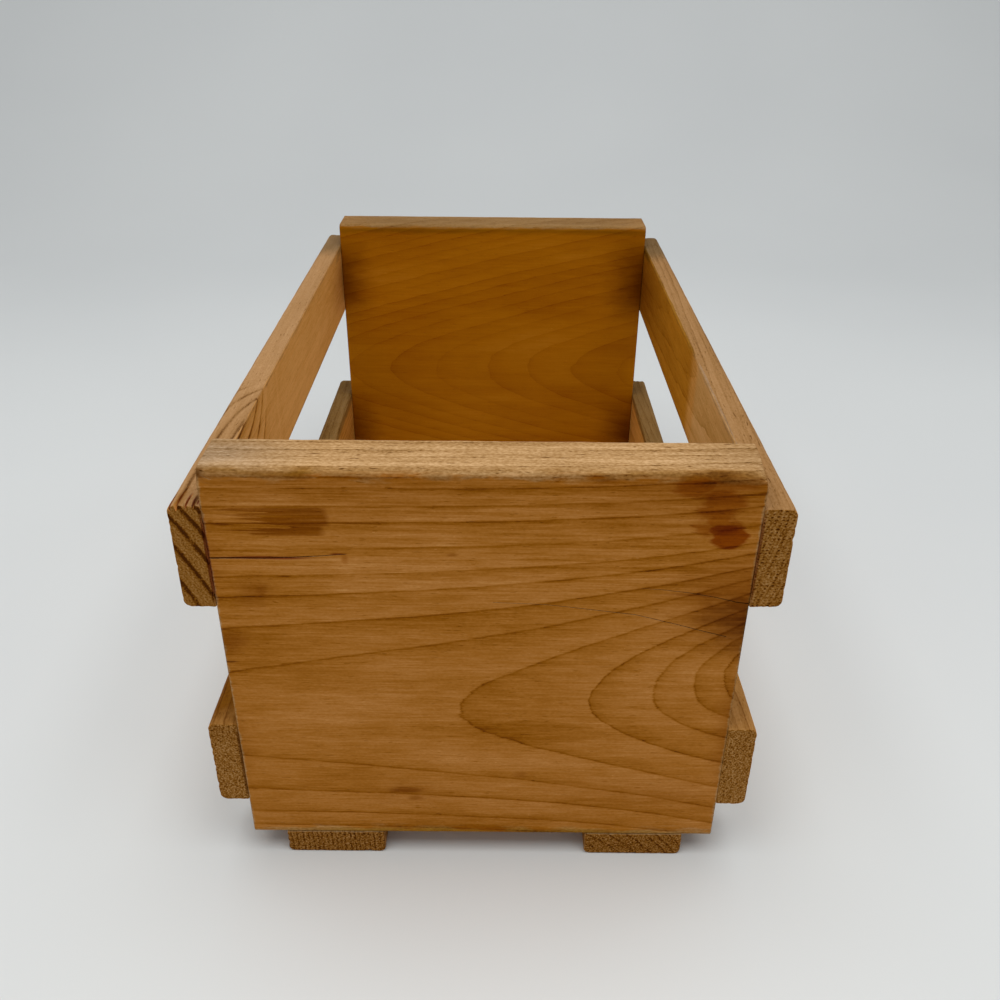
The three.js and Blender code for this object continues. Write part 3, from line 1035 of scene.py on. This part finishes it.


# %% [markdown]
# The stains are listed with what they are: age along the borders, marks of use, dirt on the top arris, the
# brushed patch, the spill with its spots, reddish lines and soot. Some reddish lines and some soot are
# painted
# shadow: along the cracks and at the seams with the slats.

# %% Stains of the front board
AGED = (
    mark((-40, 74), (100, 32), 0.40, softness=1.0, ragged=1.0),
    mark((60, 74), (70, 32), 0.55, softness=1.0, ragged=1.0),
    mark((0, -70.5), (95, 4.5), 0.85, softness=1.0, ragged=0.6),
    mark((-86, 46), (17, 30), 0.45, softness=1.0, ragged=1.0),
    mark((-86, -28), (17, 34), 0.50, softness=1.0, ragged=1.0),
    mark((-24, -50), (20, 8), 0.25, softness=1.0, ragged=1.5),
    mark((84, -20), (14, 70), 1.00, softness=1.0, ragged=0.8),
    mark((60, -50), (50, 12), 0.25, softness=1.0, ragged=1.5),
    mark((84, 27), (46, 27), 1.00, softness=1.0, ragged=1.6),
)
MARKS = (
    mark((-66.5, 29.0), (8.0, 8.5), 0.45, softness=0.95, ragged=1.0),
    mark((-64.6, 30.0), (3.4, 4.8), 0.75, softness=0.9, ragged=0.8),
    mark((-74.5, 11.5), (6.5, 7.0), 0.60, softness=0.9, ragged=1.0),
    mark((-25.5, -49.8), (7.5, 1.8), 1.00, softness=0.7, ragged=0.7, streaks=0.4),
    mark((-22, -53.4), (3.6, 1.4), 0.75, softness=0.8, ragged=0.5),
    mark((-8, 43.2), (2.4, 1.0), 0.7, softness=0.8, ragged=0.3),
    mark((12, -42.4), (3.4, 2.8), 0.4, softness=0.9, ragged=0.5),
    mark((78.0, 19), (14.0, 15.0), 0.45, softness=1.0, ragged=1.2),
)
ARRIS_DIRT = (
    mark((-60, 69.2), (46, 2.4), 0.80, deep=3.0, softness=1.0, ragged=1.3),
    mark((50, 69.2), (46, 2.4), 0.70, deep=3.0, softness=1.0, ragged=1.3),
    mark((-50, 69.2), (9.0, 2.6), 0.95, deep=3.4, softness=0.9, ragged=1.2),
    mark((-25, 69.4), (13.0, 2.2), 0.50, deep=3.4, softness=0.9, ragged=1.2),
    mark((20, 69.4), (6.5, 2.0), 0.65, deep=4.2, softness=0.9, ragged=1.2),
    mark((33, 69.0), (7.0, 2.6), 0.85, deep=3.4, softness=0.9, ragged=1.2),
    mark((63, 69.2), (12.5, 2.6), 0.90, deep=3.6, softness=0.9, ragged=1.3),
)
BRUSH = (
    mark((-54.0, 55.2), (12.5, 3.2), 1.0, square=0.9, softness=0.2, ragged=0.35, brushed=6.0, streaks=0.3),
    mark((-54.0, 50.7), (10.8, 1.9), 1.0, square=0.9, softness=0.25, ragged=0.35, brushed=6.0, streaks=0.2),
    mark((-72.5, 52.4), (3.8, 0.6), 0.85, softness=0.7, ragged=0.3),
    mark((-57.0, 35.3), (3.0, 0.4), 0.9, softness=0.7, ragged=0.08),
)
SPILLED = (
    mark((64, 67.0), (14, 3.0), 0.55, square=0.6, softness=0.3, ragged=0.9),
    mark((57.0, 66.0), (6.5, 4.8), 0.90, softness=0.4, ragged=1.1),
    mark((65.5, 60.5), (9.0, 6.5), 0.90, softness=0.5, ragged=1.5),
    mark((66.5, 55.0), (5.0, 5.0), 0.90, softness=0.5, ragged=1.4),
    mark((61.5, 53.2), (3.6, 3.4), 0.80, softness=0.5, ragged=1.5, streaks=0.8),
    mark((-38.6, 41.3), (1.6, 2.4), 0.55, softness=0.8, ragged=0.4),
)
SPOTS = (
    mark((68.6, 49.8), (5.4, 4.2), 1.0, softness=0.22, ragged=0.7),
    mark((66.2, 52.2), (3.6, 1.8), 0.9, softness=0.35, ragged=0.4),
)
RED_LINES = (
    mark((-41, 43.1), (3.2, 0.45), 0.9, softness=0.7, ragged=0.08),
    # Painted shadow along the split, with dirt.
    mark((-62, 41.7), (18, 0.75), 0.9, softness=0.6, ragged=0.15),
    # Painted shadow along the crack that comes in from the right end.
    mark((62, 30.3), (14, 1.0), 0.35, softness=0.8, ragged=0.9),
    end_seam(-1, 41.5, 1.0, 0.9, 17.5),
    end_seam(1, 42.5, 0.85, 0.8, 17.0),
    inside((0, 37.5), (90, 12.5)),
    inside((36, 19.0), (38, 6.5)),
)
DIRT_AND_SHADOW = (
    mark((82, 19), (24, 17), 0.95, softness=1.0, ragged=1.8, streaks=0.35),
    end_seam(-1, -41.0, 0.60, 0.55, 17.0),
    mark((-76.5, 4.0), (3.5, 0.55), 0.85, softness=0.7, ragged=0.15),
    mark((-77, 68.0), (3.4, 2.4), 0.85, softness=0.7, ragged=0.6),
    mark((34, 69.0), (4.0, 1.6), 0.35, deep=2.4, softness=0.9, ragged=0.9),
    mark((64, 69.0), (7.0, 1.8), 0.35, deep=2.8, softness=0.9, ragged=0.9),
    speck(-47.0, 10.1, 2.4),
    speck(-34.7, 9.6, 1.0),
    speck(-35.0, 7.4, 1.0),
    speck(17.5, 9.1, 2.8),
    speck(52.5, 16.1, 2.8),
    speck(43.0, 16.1, 0.7),
)
BOTTOM_ARRIS = (mark((0, -69.5), (95, 4.5), 1.0, softness=0.7, ragged=0.4),)


def top_end(side):
    """The greyer wood near one end of the top edge."""
    return mark((side * 82, 69.8), (40, 5), 1.0, deep=16.0, behind=10.3, softness=0.9, ragged=1.5)


FRONT_STAINS = (
    (BROWN, AGED),
    (GOLD, BOTTOM_ARRIS),
    (BROWN, MARKS + ARRIS_DIRT),
    (BRUSHED, BRUSH),
    (SPILL, SPILLED),
    (SPOT, SPOTS),
    (DARK_RED, RED_LINES),
    (SOOT_AND_SHADE, DIRT_AND_SHADOW),
    (GREY, (top_end(-1),)),
    (DULL, (top_end(1),)),
)
print("front board:", sum(len(marks) for _, marks in FRONT_STAINS), "stains")

# %% Finish of the front board
front_finish = wood(
    "front_board_varnish",
    axes=BOARD_AXES,
    half_size=BOARD_HALF,
    pith=FRONT_PITH,
    radii=FRONT_RADII,
    tones=FRONT_TONES,
    rubbed=RUBBED_AND_SHEEN_TONES,
    ends=END_TONES,
    seed=3.0,
    wander=0.35,
    line_width=0.70,
    reach=4.0,
    depths={"arris": 0.75, "rubbed grain": 1.1},
    busy_above=32.0,
    stains=FRONT_STAINS,
)

# %% [markdown]
# The front board's own marks come last. Knocks have pressed in the top arris, and its right corner is worn
# round. A knock is listed with its place along the arris and up the face, its length, its height and its
# depth, all in millimetres.

# %% Knocks
points, faces, front_place = end_board("front_end_board", 11, front_finish)
half_x, half_y, half_z = (v / 2 for v in front_size)
KNOCKS = (
    (-77.5, 68.0, 2.2, 2.0, 0.9),
    (-46.0, 69.5, 5.0, 1.4, 0.25),
    (-22.0, 69.2, 7.0, 1.6, 0.35),
    (23.0, 68.4, 5.5, 1.8, 0.45),
    (36.0, 69.0, 3.0, 1.3, 0.30),
    (61.0, 69.2, 6.0, 1.5, 0.30),
    (77.0, 69.3, 2.0, 1.6, 0.50),
)
KNOCK_THROUGH = 2.4
KNOCK_DOWN_SHARE = 0.5
for knock_x, knock_z, long, tall, deep in KNOCKS:
    centre = (knock_x * MM, -half_y, knock_z * MM)
    push = (0, deep * MM, -KNOCK_DOWN_SHARE * deep * MM)
    points = dent(points, centre, (long * MM, KNOCK_THROUGH * MM, tall * MM), push)
WORN_CORNER = (half_x, -half_y, half_z)
WORN_SIZE = (2.2 * MM, 9 * MM, 2.6 * MM)
WORN_PUSH = (-0.8 * MM, 0, -0.9 * MM)
points = dent(points, WORN_CORNER, WORN_SIZE, WORN_PUSH)
front_board = planed("front_board", points, faces, front_place, front_finish)

# %% [markdown]
# The split starts at the left end, where the staples went in, and follows the grain inwards. At the right,
# a fine check crosses the grain and another split comes in from the end, and the top left corner is
# chipped. Each is a wedge, wide and deep at its first point and nearly closed at its last. It stands out of
# the face by a small overrun, so that the cut breaks through cleanly, and a larger one would narrow it.

# %% Cracks
CRACK_OVERRUN = 0.15 * MM


def wedge(line, outward, sideways, wide, deep, closed_share):
    """A long thin wedge along line, points in millimetres on the surface, widest at its first point."""
    outward, sideways = Vector(outward), Vector(sideways)
    wedge_points, wedge_faces = [], []
    for number, place in enumerate(line):
        open_share = 1 - number / (len(line) - 1) * (1 - closed_share)
        half = sideways * (wide / 2 * open_share * MM)
        on_surface = Vector(place) * MM
        above = on_surface + outward * CRACK_OVERRUN
        wedge_points += [above - half, on_surface - outward * (deep * open_share * MM), above + half]
    for row in range(len(line) - 1):
        a = 3 * row
        for first, second in ((0, 1), (1, 2), (2, 0)):
            wedge_faces.append((a + first, a + second, a + 3 + second, a + 3 + first))
    last = 3 * (len(line) - 1)
    wedge_faces += [(2, 1, 0), (last, last + 1, last + 2)]
    return wedge_points, wedge_faces


def crack(line, wide, deep, closed_share):
    """A wedge into the front face. The line's points are (x, z) in the room."""
    face_y = (front_middle.y - front_size.y / 2) / MM
    return wedge([(x, face_y, z) for x, z in line], (0, -1, 0), (0, 0, 1), wide, deep, closed_share)


SPLIT_LINE = ((-80.0, 120.7), (-70.0, 120.9), (-62.0, 120.9), (-54.0, 121.3), (-46.0, 121.8), (-38.5, 122.5))
CHECK_LINE = ((72.5, 94.4), (65, 96.5), (57, 98.9), (45, 102.2), (25, 104.8), (18, 105.6), (3, 106.2))
EDGE_LINE = ((80, 106.2), (74, 107.0), (68, 108.6), (60, 110.2), (52, 111.2), (46, 111.6))
CORNER_LINE = ((-79.0, 147.7), (-76.4, 147.1), (-73.6, 146.2))
cut(front_board, *crack(SPLIT_LINE, wide=0.55, deep=7.0, closed_share=0.35))
cut(front_board, *crack(CHECK_LINE, wide=0.30, deep=1.6, closed_share=0.5))
cut(front_board, *crack(EDGE_LINE, wide=0.34, deep=2.5, closed_share=0.4))
cut(front_board, *crack(CORNER_LINE, wide=2.6, deep=1.4, closed_share=0.1))
cut(front_board, *slots_for(SLATS + RUNNERS, "front"))
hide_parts("front_end_board")
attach(front_board, "root")

# %% [markdown]
# ## The rear board
# It is the same plank at the far end, but less rubbed and more amber, since light reaches it less. Its
# loops open down to the right. Painted shade darkens its corners with the slats and its top edge.

# %% Rear board
REAR_PITH = {"Pith Depth": -35.3, "Pith Height": -7.3, "Taper": 0.217}
REAR_RADII = (5, 10, 15.5, 21, 26, 32, 37, 42, 47, 51.7, 56, 61, 65, 70, 74, 79, 83, 88, 92, 97)
REAR_TONES = (
    (0.00, (0.500, 0.190, 0.0120)),
    (0.35, (0.400, 0.135, 0.0020)),
    (0.65, (0.310, 0.090, 0.0010)),
    (1.00, (0.150, 0.030, 0.0005)),
)


def corner_shade(side, height, half_height, amount, half_wide=22.0):
    """Painted shade in the corner with a slat, on the side -1 or 1 of the rear board, with dirt and deeper
    varnish.
    """
    size = (half_wide, half_height)
    return mark((side * 80.0, height), size, amount, square=0.5, softness=1.0, ragged=1.5)


REAR_CORNERS = (
    corner_shade(-1, 42, 28, 0.85),
    corner_shade(1, 42, 32, 1.00, 26.0),
    corner_shade(-1, -45, 28, 0.85),
    corner_shade(1, -48, 32, 1.00, 26.0),
)
# Painted shade together with dust: the rear board's top edge is darkened and greyed.
REAR_TOP = (mark((0, 69.8), (120, 5), 0.75, deep=30.0, square=1.0, softness=0.6, ragged=0.8),)
REAR_STAINS = ((SOOT_AND_SHADE, REAR_CORNERS), (DUST_AND_SHADE, REAR_TOP))
REAR_DEPTHS = {"rest": 0.39, "line": 0.11, "halo": 0.10, "season": 0.08, "mottle": 0.8, "streak": 0.4}
REAR_DEPTHS |= {"thread": 0.2, "grain": 0.15, "rubbed rest": 0.25, "upward": 0.75}
rear_finish = wood(
    "rear_board_varnish",
    axes=BOARD_AXES,
    half_size=BOARD_HALF,
    pith=REAR_PITH,
    radii=REAR_RADII,
    tones=REAR_TONES,
    rubbed=RUBBED_AND_SHEEN_TONES,
    ends=END_TONES,
    seed=8.0,
    wander=0.8,
    stains=REAR_STAINS,
    depths=REAR_DEPTHS,
)
points, faces, rear_place = end_board("rear_end_board", 29, rear_finish)
rear_board = planed("rear_board", points, faces, rear_place, rear_finish)
cut(rear_board, *slots_for(SLATS + RUNNERS, "rear"))
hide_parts("rear_end_board")
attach(rear_board, "root")

# %% [markdown]
# ## The side slats
# Each slat is ripped from thin stock with its outer arrises rounded. The mesh is made level, with the
# grain along its own X axis, and turned into place so that its finish finds the grain. Some slats climb a
# little towards the rear. The lean is a shear, so that the ends stay upright and flush with the boards.

# %% Slat shapes
SLAT_SPACING = 0.9 * MM
SLAT_ROW_SPACING = 1.6 * MM
NICKS = 60
SLAT_OUTER_ROUND = 2.4 * MM
SLAT_INNER_ROUND = 0.6 * MM
SLAT_WAVES = ((0.05, 40 * MM, 0), (0.03, 11 * MM, 7))
ALONG_Y_STANDING = Matrix(((0, -1, 0, 0), (1, 0, 0, 0), (0, 0, 1, 0), (0, 0, 0, 1)))
SLAT_RISE = {"upper_left_slat": 0.8, "upper_right_slat": 0.2}
SLAT_RISE |= {"lower_left_slat": -2.2, "lower_right_slat": -0.5}


def slat_mesh(node, seed):
    """Points, faces and place of a slat. Its rise is a shear along the grain."""
    middle, size = board_between(node)
    rise = SLAT_RISE[node] * MM
    places, drawn_in = rows_along(size.y, SLAT_ROW_SPACING, SAWN_EASE)
    outer_first = "left" in node
    bases = (SLAT_OUTER_ROUND, SLAT_OUTER_ROUND, SLAT_INNER_ROUND, SLAT_INNER_ROUND)
    bases = bases if outer_first else bases[2:] + bases[:2]
    radii = [worn_radius(base, places, seed + n, SLAT_WAVES) for n, base in enumerate(bases)]
    width = size.z - abs(rise)
    points, faces = board_mesh(places, drawn_in, size.x, width, radii, SLAT_SPACING)
    points = frayed(points, NICKS, seed)
    points[:, 2] += points[:, 0] / size.y * rise
    half_size = (size.y / 2 / MM, size.x / 2 / MM, width / 2 / MM)
    return points, faces, Matrix.Translation(middle) @ ALONG_Y_STANDING, half_size, rise / size.y


# %% [markdown]
# The slats came from different trunks, so each has its own pith and years. Their stains are placed along
# the grain, through the slat from its inner face, and up. Where a slat's end meets the board's, a dark line
# is painted as the shadow of the seam's gap, and the tops are darkened with painted shade and grey dust.
# The rear part of each upper slat's inner face is darkened with painted shade. The upper right slat is
# bleached near its front and olive further back, and the upper left one has splintered fibres at its front
# corner, with painted shade in their gaps.

# %% Stains on a slat
SLAT_HALF = board_between(SLATS[0])[1].x / 2 / MM
OLIVE = (0.76, 0.65, 0.20)
PALE = (0.98, 1.12, 1.55)


def on_slat(side, place, half_size, amount, **shape):
    """A stain on a slat. side is -1 for a left slat's inner face and 1 for a right one's. Place and half
    sizes run along the grain, through the slat from its inner face, and up."""
    titles = {title.capitalize(): value for title, value in shape.items()}
    centre = (place[0], side * (SLAT_HALF - place[1]), place[2])
    return {"Centre": centre, "Half Size": half_size} | titles, amount


def seam(side, amount):
    """The dark line where a slat's end meets the board's: a painted shadow of the joint's gap."""
    return on_slat(side, (-142, 0, 0), (1.5, 0.9, 19), amount, square=1.0, softness=0.5, ragged=0.08)


def dust_and_shade(side, place, half_long, amount):
    """Painted shade together with grey dust on a slat's top, round a place along it."""
    return on_slat(side, (place, 5, 17), (half_long, 9, 5), amount, square=1.0, softness=0.5, ragged=1.0)


def inner_tint(side, place, half_long, softness):
    """A change of colour over the whole height of a slat's inner face."""
    return on_slat(side, (place, 0, 0), (half_long, 0.9, 30), 1.0, square=1.0, softness=softness, ragged=0.3)


def splintered(through, half_long):
    """Painted shade, with dirt, in a splintered fibre at the upper left slat's front top corner."""
    return on_slat(-1, (-140, through, 17.0), (half_long, 0.5, 1.3), 0.9, softness=0.6, ragged=0.25)


# %% Slat finishes
SLAT_TONES = (
    (0.00, (0.760, 0.382, 0.115)),
    (0.25, (0.640, 0.300, 0.068)),
    (0.50, (0.490, 0.213, 0.034)),
    (0.75, (0.330, 0.119, 0.012)),
    (1.00, (0.150, 0.042, 0.003)),
)
# Pale tones of rubbed arrises, also used on slat tops, where they are partly a painted sheen of the light
# from above.
SLAT_RUBBED_AND_SHEEN_TONES = (
    (0.00, (0.420, 0.245, 0.118)),
    (0.35, (0.310, 0.172, 0.076)),
    (0.70, (0.235, 0.122, 0.045)),
    (1.00, (0.110, 0.046, 0.012)),
)
SLAT_DEPTHS = {"line": 0.20, "halo": 0.12, "season": 0.10, "streak": 0.5, "thread": 0.25, "mottle": 0.6}
SLAT_DEPTHS |= {"rubbed rest": 0.12, "rubbed thread": 0.2, "rubbed grain": 0.4}
SPLINTERED = ((0.7, 2.0), (2.0, 4.0), (3.9, 6.0), (6.5, 8.0), (8.4, 7.0))
SLAT_LOOKS = {
    "upper_left_slat": {
        "pith": {"Pith Depth": 108.4, "Pith Height": -60.5, "Swell": 9.4, "From": -62.0, "Over": 14.0},
        "radii": (103.0, 109.5, 116.5, 122.4, 127.6, 132.0, 136.0, 139.5, 143.0),
        "line_width": 1.15,
        "wander": 0.5,
        "turn": 0.56,
        "depths": {
            "rest": 0.15,
            "rubbed rest": 0.22,
            "line": 0.75,
            "halo": 0.40,
            "end line": 1.15,
            "end crumbs": 1.5,
            "end rest": 0.36,
        },
        "lines_until": -62.0,
        "stains": (
            (DARK_RED, (seam(-1, 0.9), *(splintered(*place) for place in SPLINTERED))),
            # Painted shade: the rear of the inner face darkens towards the corner with the rear board.
            (SOOT_AND_SHADE, (on_slat(-1, (142, 0, 0), (70, 1.2, 24), 1.0, softness=1.0, ragged=0.4),)),
            (BROWN, (on_slat(-1, (-138, 6, 18), (9, 4, 2.5), 0.7, softness=0.9, ragged=1.0, streaks=0.5),)),
            (DUST_AND_SHADE, (dust_and_shade(-1, 142, 45, 0.9),)),
        ),
    },
    "upper_right_slat": {
        "pith": {"Pith Depth": 58.0, "Pith Height": 15.6, "Taper": 0.03},
        "radii": ring_radii(40.0, 2.9, 12, 5),
        "turn": -0.26,
        "depths": {
            "rest": 0.30,
            "line": 0.14,
            "rubbed rest": 0.30,
            "end line": 0.22,
            "end pores": 0.40,
            "end pits": 0.1,
            "end crumbs": 1.8,
            "end rest": 0.32,
        },
        "stains": (
            (DARK_RED, (seam(1, 0.7),)),
            (PALE, (inner_tint(1, -86, 54, 0.15),)),
            (OLIVE, (inner_tint(1, 62, 92, 0.1),)),
            # Painted shade: the rear of the inner face darkens towards the corner with the rear board.
            (SOOT_AND_SHADE, (on_slat(1, (142, 0, 0), (150, 1.2, 40), 1.0, softness=1.0, ragged=0.4),)),
            (DUST_AND_SHADE, (dust_and_shade(1, 142, 50, 1.0),)),
        ),
    },
    "lower_left_slat": {
        "pith": {"Pith Depth": -26.0, "Pith Height": 40.0, "Taper": 0.02},
        "radii": ring_radii(18.0, 2.4, 22, 6),
        "turn": 0.5,
        "depths": {"rest": 0.40, "upward": 0.6, "rubbed rest": 0.40, "end line": 0.10, "end rest": 0.31},
        "stains": (
            (SOOT_AND_SHADE, (seam(-1, 0.85),)),
            (DUST_AND_SHADE, (dust_and_shade(-1, 75, 150, 1.0),)),
            (BROWN, (on_slat(-1, (-110, 5, 17), (36, 9, 7), 1.0, square=1.0, softness=0.4, ragged=1.0),)),
        ),
    },
    "lower_right_slat": {
        "pith": {"Pith Depth": 30.0, "Pith Height": -12.0, "Taper": -0.03},
        "radii": ring_radii(12.0, 2.6, 20, 7),
        "turn": -0.5,
        "depths": {"rest": 0.36, "upward": 0.6, "rubbed rest": 0.30, "end line": 0.12, "end rest": 0.31},
        "stains": ((DUST_AND_SHADE, (dust_and_shade(1, 70, 150, 1.0),)),),
    },
}
print("slats:", sum(len(look["stains"]) for look in SLAT_LOOKS.values()), "tints of stain")

# %% [markdown]
# The upper left slat's front corner is splintered: four fibres are torn out, each as a wedge that starts at
# the sawn end. Then every slat is built, cut and handed over in the same way.

# %% The four slats
ALONG_ROOM_Y = (0.0, 1.0, 0.0)
SPLINTER_CLOSED_SHARE = 0.15
SPLINTERS = {
    "upper_left_slat": (
        (((-84.6, -143.0, 138.0), (-84.3, -138.5, 138.0), (-83.6, -131.0, 138.0)), 1.5, 2.2),
        (((-81.9, -143.0, 138.0), (-81.7, -139.5, 138.0), (-81.3, -135.0, 138.0)), 1.0, 1.6),
        (((-79.5, -143.0, 138.0), (-79.6, -141.0, 138.0), (-79.8, -139.0, 138.0)), 0.8, 1.2),
        (((-86.4, -143.0, 136.9), (-86.1, -139.0, 137.1), (-85.4, -133.0, 137.6)), 0.9, 1.2),
    ),
}
SLAT_AXES = (ALONG_ROOM_Y, (-1.0, 0.0, 0.0))
for number, node in enumerate(SLATS):
    points, faces, place, half_size, lean = slat_mesh(node, 50 + 20 * number)
    look = SLAT_LOOKS[node] | {"depths": SLAT_DEPTHS | SLAT_LOOKS[node]["depths"]}
    finish = wood(
        f"{node}_varnish",
        axes=SLAT_AXES,
        half_size=half_size,
        tones=SLAT_TONES,
        rubbed=SLAT_RUBBED_AND_SHEEN_TONES,
        ends=END_TONES,
        seed=20.0 + number,
        lean=lean,
        **look,
    )
    slat = planed(node + "_dressed", points, faces, place, finish)
    for line, wide, deep in SPLINTERS.get(node, ()):
        cut(slat, *wedge(line, (0, 0, 1), (1, 0, 0), wide, deep, SPLINTER_CLOSED_SHARE))
    cut(slat, *slots_for((node,)))
    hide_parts(node)
    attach(slat, "root")

# %% [markdown]
# ## The runners
# Two strips of the same stock lie flat under the boards and lift them off the shelf. Their undersides are
# scuffed. Their thickness points up, so they are turned the other way.

# %% Runners
RUNNER_FOOT_ROUND = 2.0 * MM
RUNNER_TOP_ROUND = 0.6 * MM
RUNNER_ARRISES = (RUNNER_TOP_ROUND, RUNNER_TOP_ROUND, RUNNER_FOOT_ROUND, RUNNER_FOOT_ROUND)
RUNNER_WAVES = ((0.08, 37 * MM, 0),)
ALONG_Y_LYING = Matrix(((0, 0, 1, 0), (1, 0, 0, 0), (0, 1, 0, 0), (0, 0, 0, 1)))
RUNNER_TONES = (
    (0.00, (0.460, 0.235, 0.070)),
    (0.35, (0.340, 0.150, 0.030)),
    (0.65, (0.220, 0.080, 0.010)),
    (1.00, (0.100, 0.030, 0.003)),
)
RUNNER_AXES = (ALONG_ROOM_Y, (0.0, 0.0, 1.0))
RUNNER_LOOKS = {
    "left_runner": {"pith": {"Pith Depth": 0.0, "Pith Height": -60.0}, "radii": ring_radii(40.0, 1.7, 28, 8)},
    "right_runner": {
        "pith": {"Pith Depth": -42.0, "Pith Height": -42.0},
        "radii": ring_radii(35.0, 3.4, 18, 9),
        "depths": {"end rest": 0.46},
    },
}
for number, node in enumerate(RUNNERS):
    middle, size = board_between(node)
    places, drawn_in = rows_along(size.y, SLAT_ROW_SPACING, SAWN_EASE)
    seed = 140 + 10 * number
    radii = [worn_radius(base, places, seed + n, RUNNER_WAVES) for n, base in enumerate(RUNNER_ARRISES)]
    points, faces = board_mesh(places, drawn_in, size.z, size.x, radii, SLAT_SPACING)
    points = frayed(points, NICKS, 240 + number)
    finish = wood(
        f"{node}_varnish",
        axes=RUNNER_AXES,
        half_size=(size.y / 2 / MM, size.z / 2 / MM, size.x / 2 / MM),
        tones=RUNNER_TONES,
        rubbed=RUBBED_AND_SHEEN_TONES,
        ends=END_TONES,
        seed=30.0 + number,
        **RUNNER_LOOKS[node],
    )
    runner = planed(node + "_dressed", points, faces, Matrix.Translation(middle) @ ALONG_Y_LYING, finish)
    cut(runner, *slots_for((node,)))
    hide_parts(node)
    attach(runner, "root")

# %% [markdown]
# ## The staples
# The wire is steel with a dull zinc coat. The CAD solids already have the right bends and points, so they
# stay, and only get a finish: mottled zinc, fine drawing marks along the wire and browner, rougher spots.

# %% Staple wire
wire = bpy.data.materials.new("staple_zinc")
wire.use_nodes = True
w = Wiring(wire.node_tree)
shader = wire.node_tree.nodes["Principled BSDF"]
point = w.placed(plank_point, {"Lean": 0.0})["Point"]
spangle = w.noise(point, (2.2, 2.2, 2.2), 3.0)
drawn = w.noise(point, (9.0, 9.0, 0.8), 2.0)
rust = w.step(w.noise(point, (0.9, 0.9, 0.9), 4.0), 0.56, 0.74)
zinc = w.ramp(spangle, ((0.3, (0.42, 0.42, 0.41)), (0.7, (0.66, 0.66, 0.64))))
w.feed(shader.inputs["Base Color"], w.mix(rust, zinc, (0.20, 0.095, 0.04, 1.0)))
w.feed(shader.inputs["Metallic"], w.weighted(0.95, (rust, -0.6)))
w.feed(shader.inputs["Roughness"], w.weighted(0.30, (spangle, 0.2), (rust, 0.3)))
bump = w.node("ShaderNodeBump", {"Height": w.weighted(0.0, (drawn, 0.6), (rust, 0.4)), "Distance": 0.03 * MM})
w.feed(shader.inputs["Normal"], bump.outputs["Normal"])
staples = [node for name, node in nodes.items() if "_staple_" in name]
for staple in staples:
    staple.material_slots[0].material = wire
print("staples:", len(staples), "carry", wire.name)

# %% [markdown]
# ## The room
# The crate was photographed in a white tent: a pale sheet that runs on from the floor up the back, and
# light from all over, most of it from above. A single curved sheet gives the same seamless ground. The
# sheet's tone carries painted light: it is painted paler round the crate, where the crate shades the floor,
# and a little darker further off, instead of more lamp light, which would bleach the wood.

# %% Floor and backdrop
SHEET_HALF_WIDTH = 2.6
SHEET_FRONT = -2.2
SHEET_BEND_FROM = 0.55
SHEET_BEND_RADIUS = 0.7
SHEET_TOP = 2.6
SHEET_STEPS = 24
profile = [(SHEET_FRONT, 0.0), (SHEET_BEND_FROM, 0.0)]
for step in range(1, SHEET_STEPS + 1):
    turn = math.pi / 2 * step / SHEET_STEPS
    up = SHEET_BEND_RADIUS * (1 - math.cos(turn))
    profile.append((SHEET_BEND_FROM + SHEET_BEND_RADIUS * math.sin(turn), up))
profile.append((SHEET_BEND_FROM + SHEET_BEND_RADIUS, SHEET_TOP))
sheet_points = [(side * SHEET_HALF_WIDTH, y, z) for y, z in profile for side in (-1, 1)]
sheet_faces = [(2 * n, 2 * n + 1, 2 * n + 3, 2 * n + 2) for n in range(len(profile) - 1)]
sheet_mesh = bpy.data.meshes.new("backdrop")
sheet_mesh.from_pydata(sheet_points, [], sheet_faces)
sheet_mesh.polygons.foreach_set("use_smooth", [True] * len(sheet_faces))
sheet = bpy.data.objects.new("backdrop", sheet_mesh)
bpy.context.scene.collection.objects.link(sheet)
paper = bpy.data.materials.new("backdrop_paper")
paper.use_nodes = True
w = Wiring(paper.node_tree)
shader = paper.node_tree.nodes["Principled BSDF"]
cloud = w.noise(w.node("ShaderNodeTexCoord").outputs["Object"], (3.0, 3.0, 3.0), 2.0)
x, y, _ = w.parts(w.node("ShaderNodeTexCoord").outputs["Object"])
# Painted light: the sheet is painted paler right round the crate, where the crate shades it, and a little
# darker further off.
from_crate = w.vector("LENGTH", w.point(x, w.math("ADD", y, 0.2), 0.0))
tone = w.step(from_crate, 0.03, 0.30)
painted_light_near_crate = w.ramp(tone, ((0.0, (1.01, 1.01, 1.00)), (1.0, (0.93, 0.94, 0.945))))
sheet_white = w.ramp(cloud, ((0.3, (0.635, 0.645, 0.645)), (0.7, (0.665, 0.675, 0.672))))
w.feed(shader.inputs["Base Color"], w.mix(1.0, sheet_white, painted_light_near_crate, "MULTIPLY"))
shader.inputs["Roughness"].default_value = 0.75
sheet.data.materials.append(paper)
print("backdrop:", len(sheet_faces), "faces")

# %% Lights
TENT_TOP = 1.25
lamp_data = bpy.data.lights.new("tent_top", "AREA")
lamp_data.shape = "RECTANGLE"
lamp_data.size = 1.5
lamp_data.size_y = 1.3
lamp_data.energy = 17.0
lamp_data.color = (1.0, 0.995, 0.985)
lamp = bpy.data.objects.new("tent_top", lamp_data)
lamp.location = (0.0, -0.18, TENT_TOP)
bpy.context.scene.collection.objects.link(lamp)
world = bpy.data.worlds.new("tent_walls")
world.use_nodes = True
world.node_tree.nodes["Background"].inputs["Color"].default_value = (0.95, 0.98, 1.0, 1.0)
world.node_tree.nodes["Background"].inputs["Strength"].default_value = 0.42
bpy.context.scene.world = world
print("lights: one soft lamp of", lamp_data.energy, "W at", TENT_TOP, "m and pale walls all round")
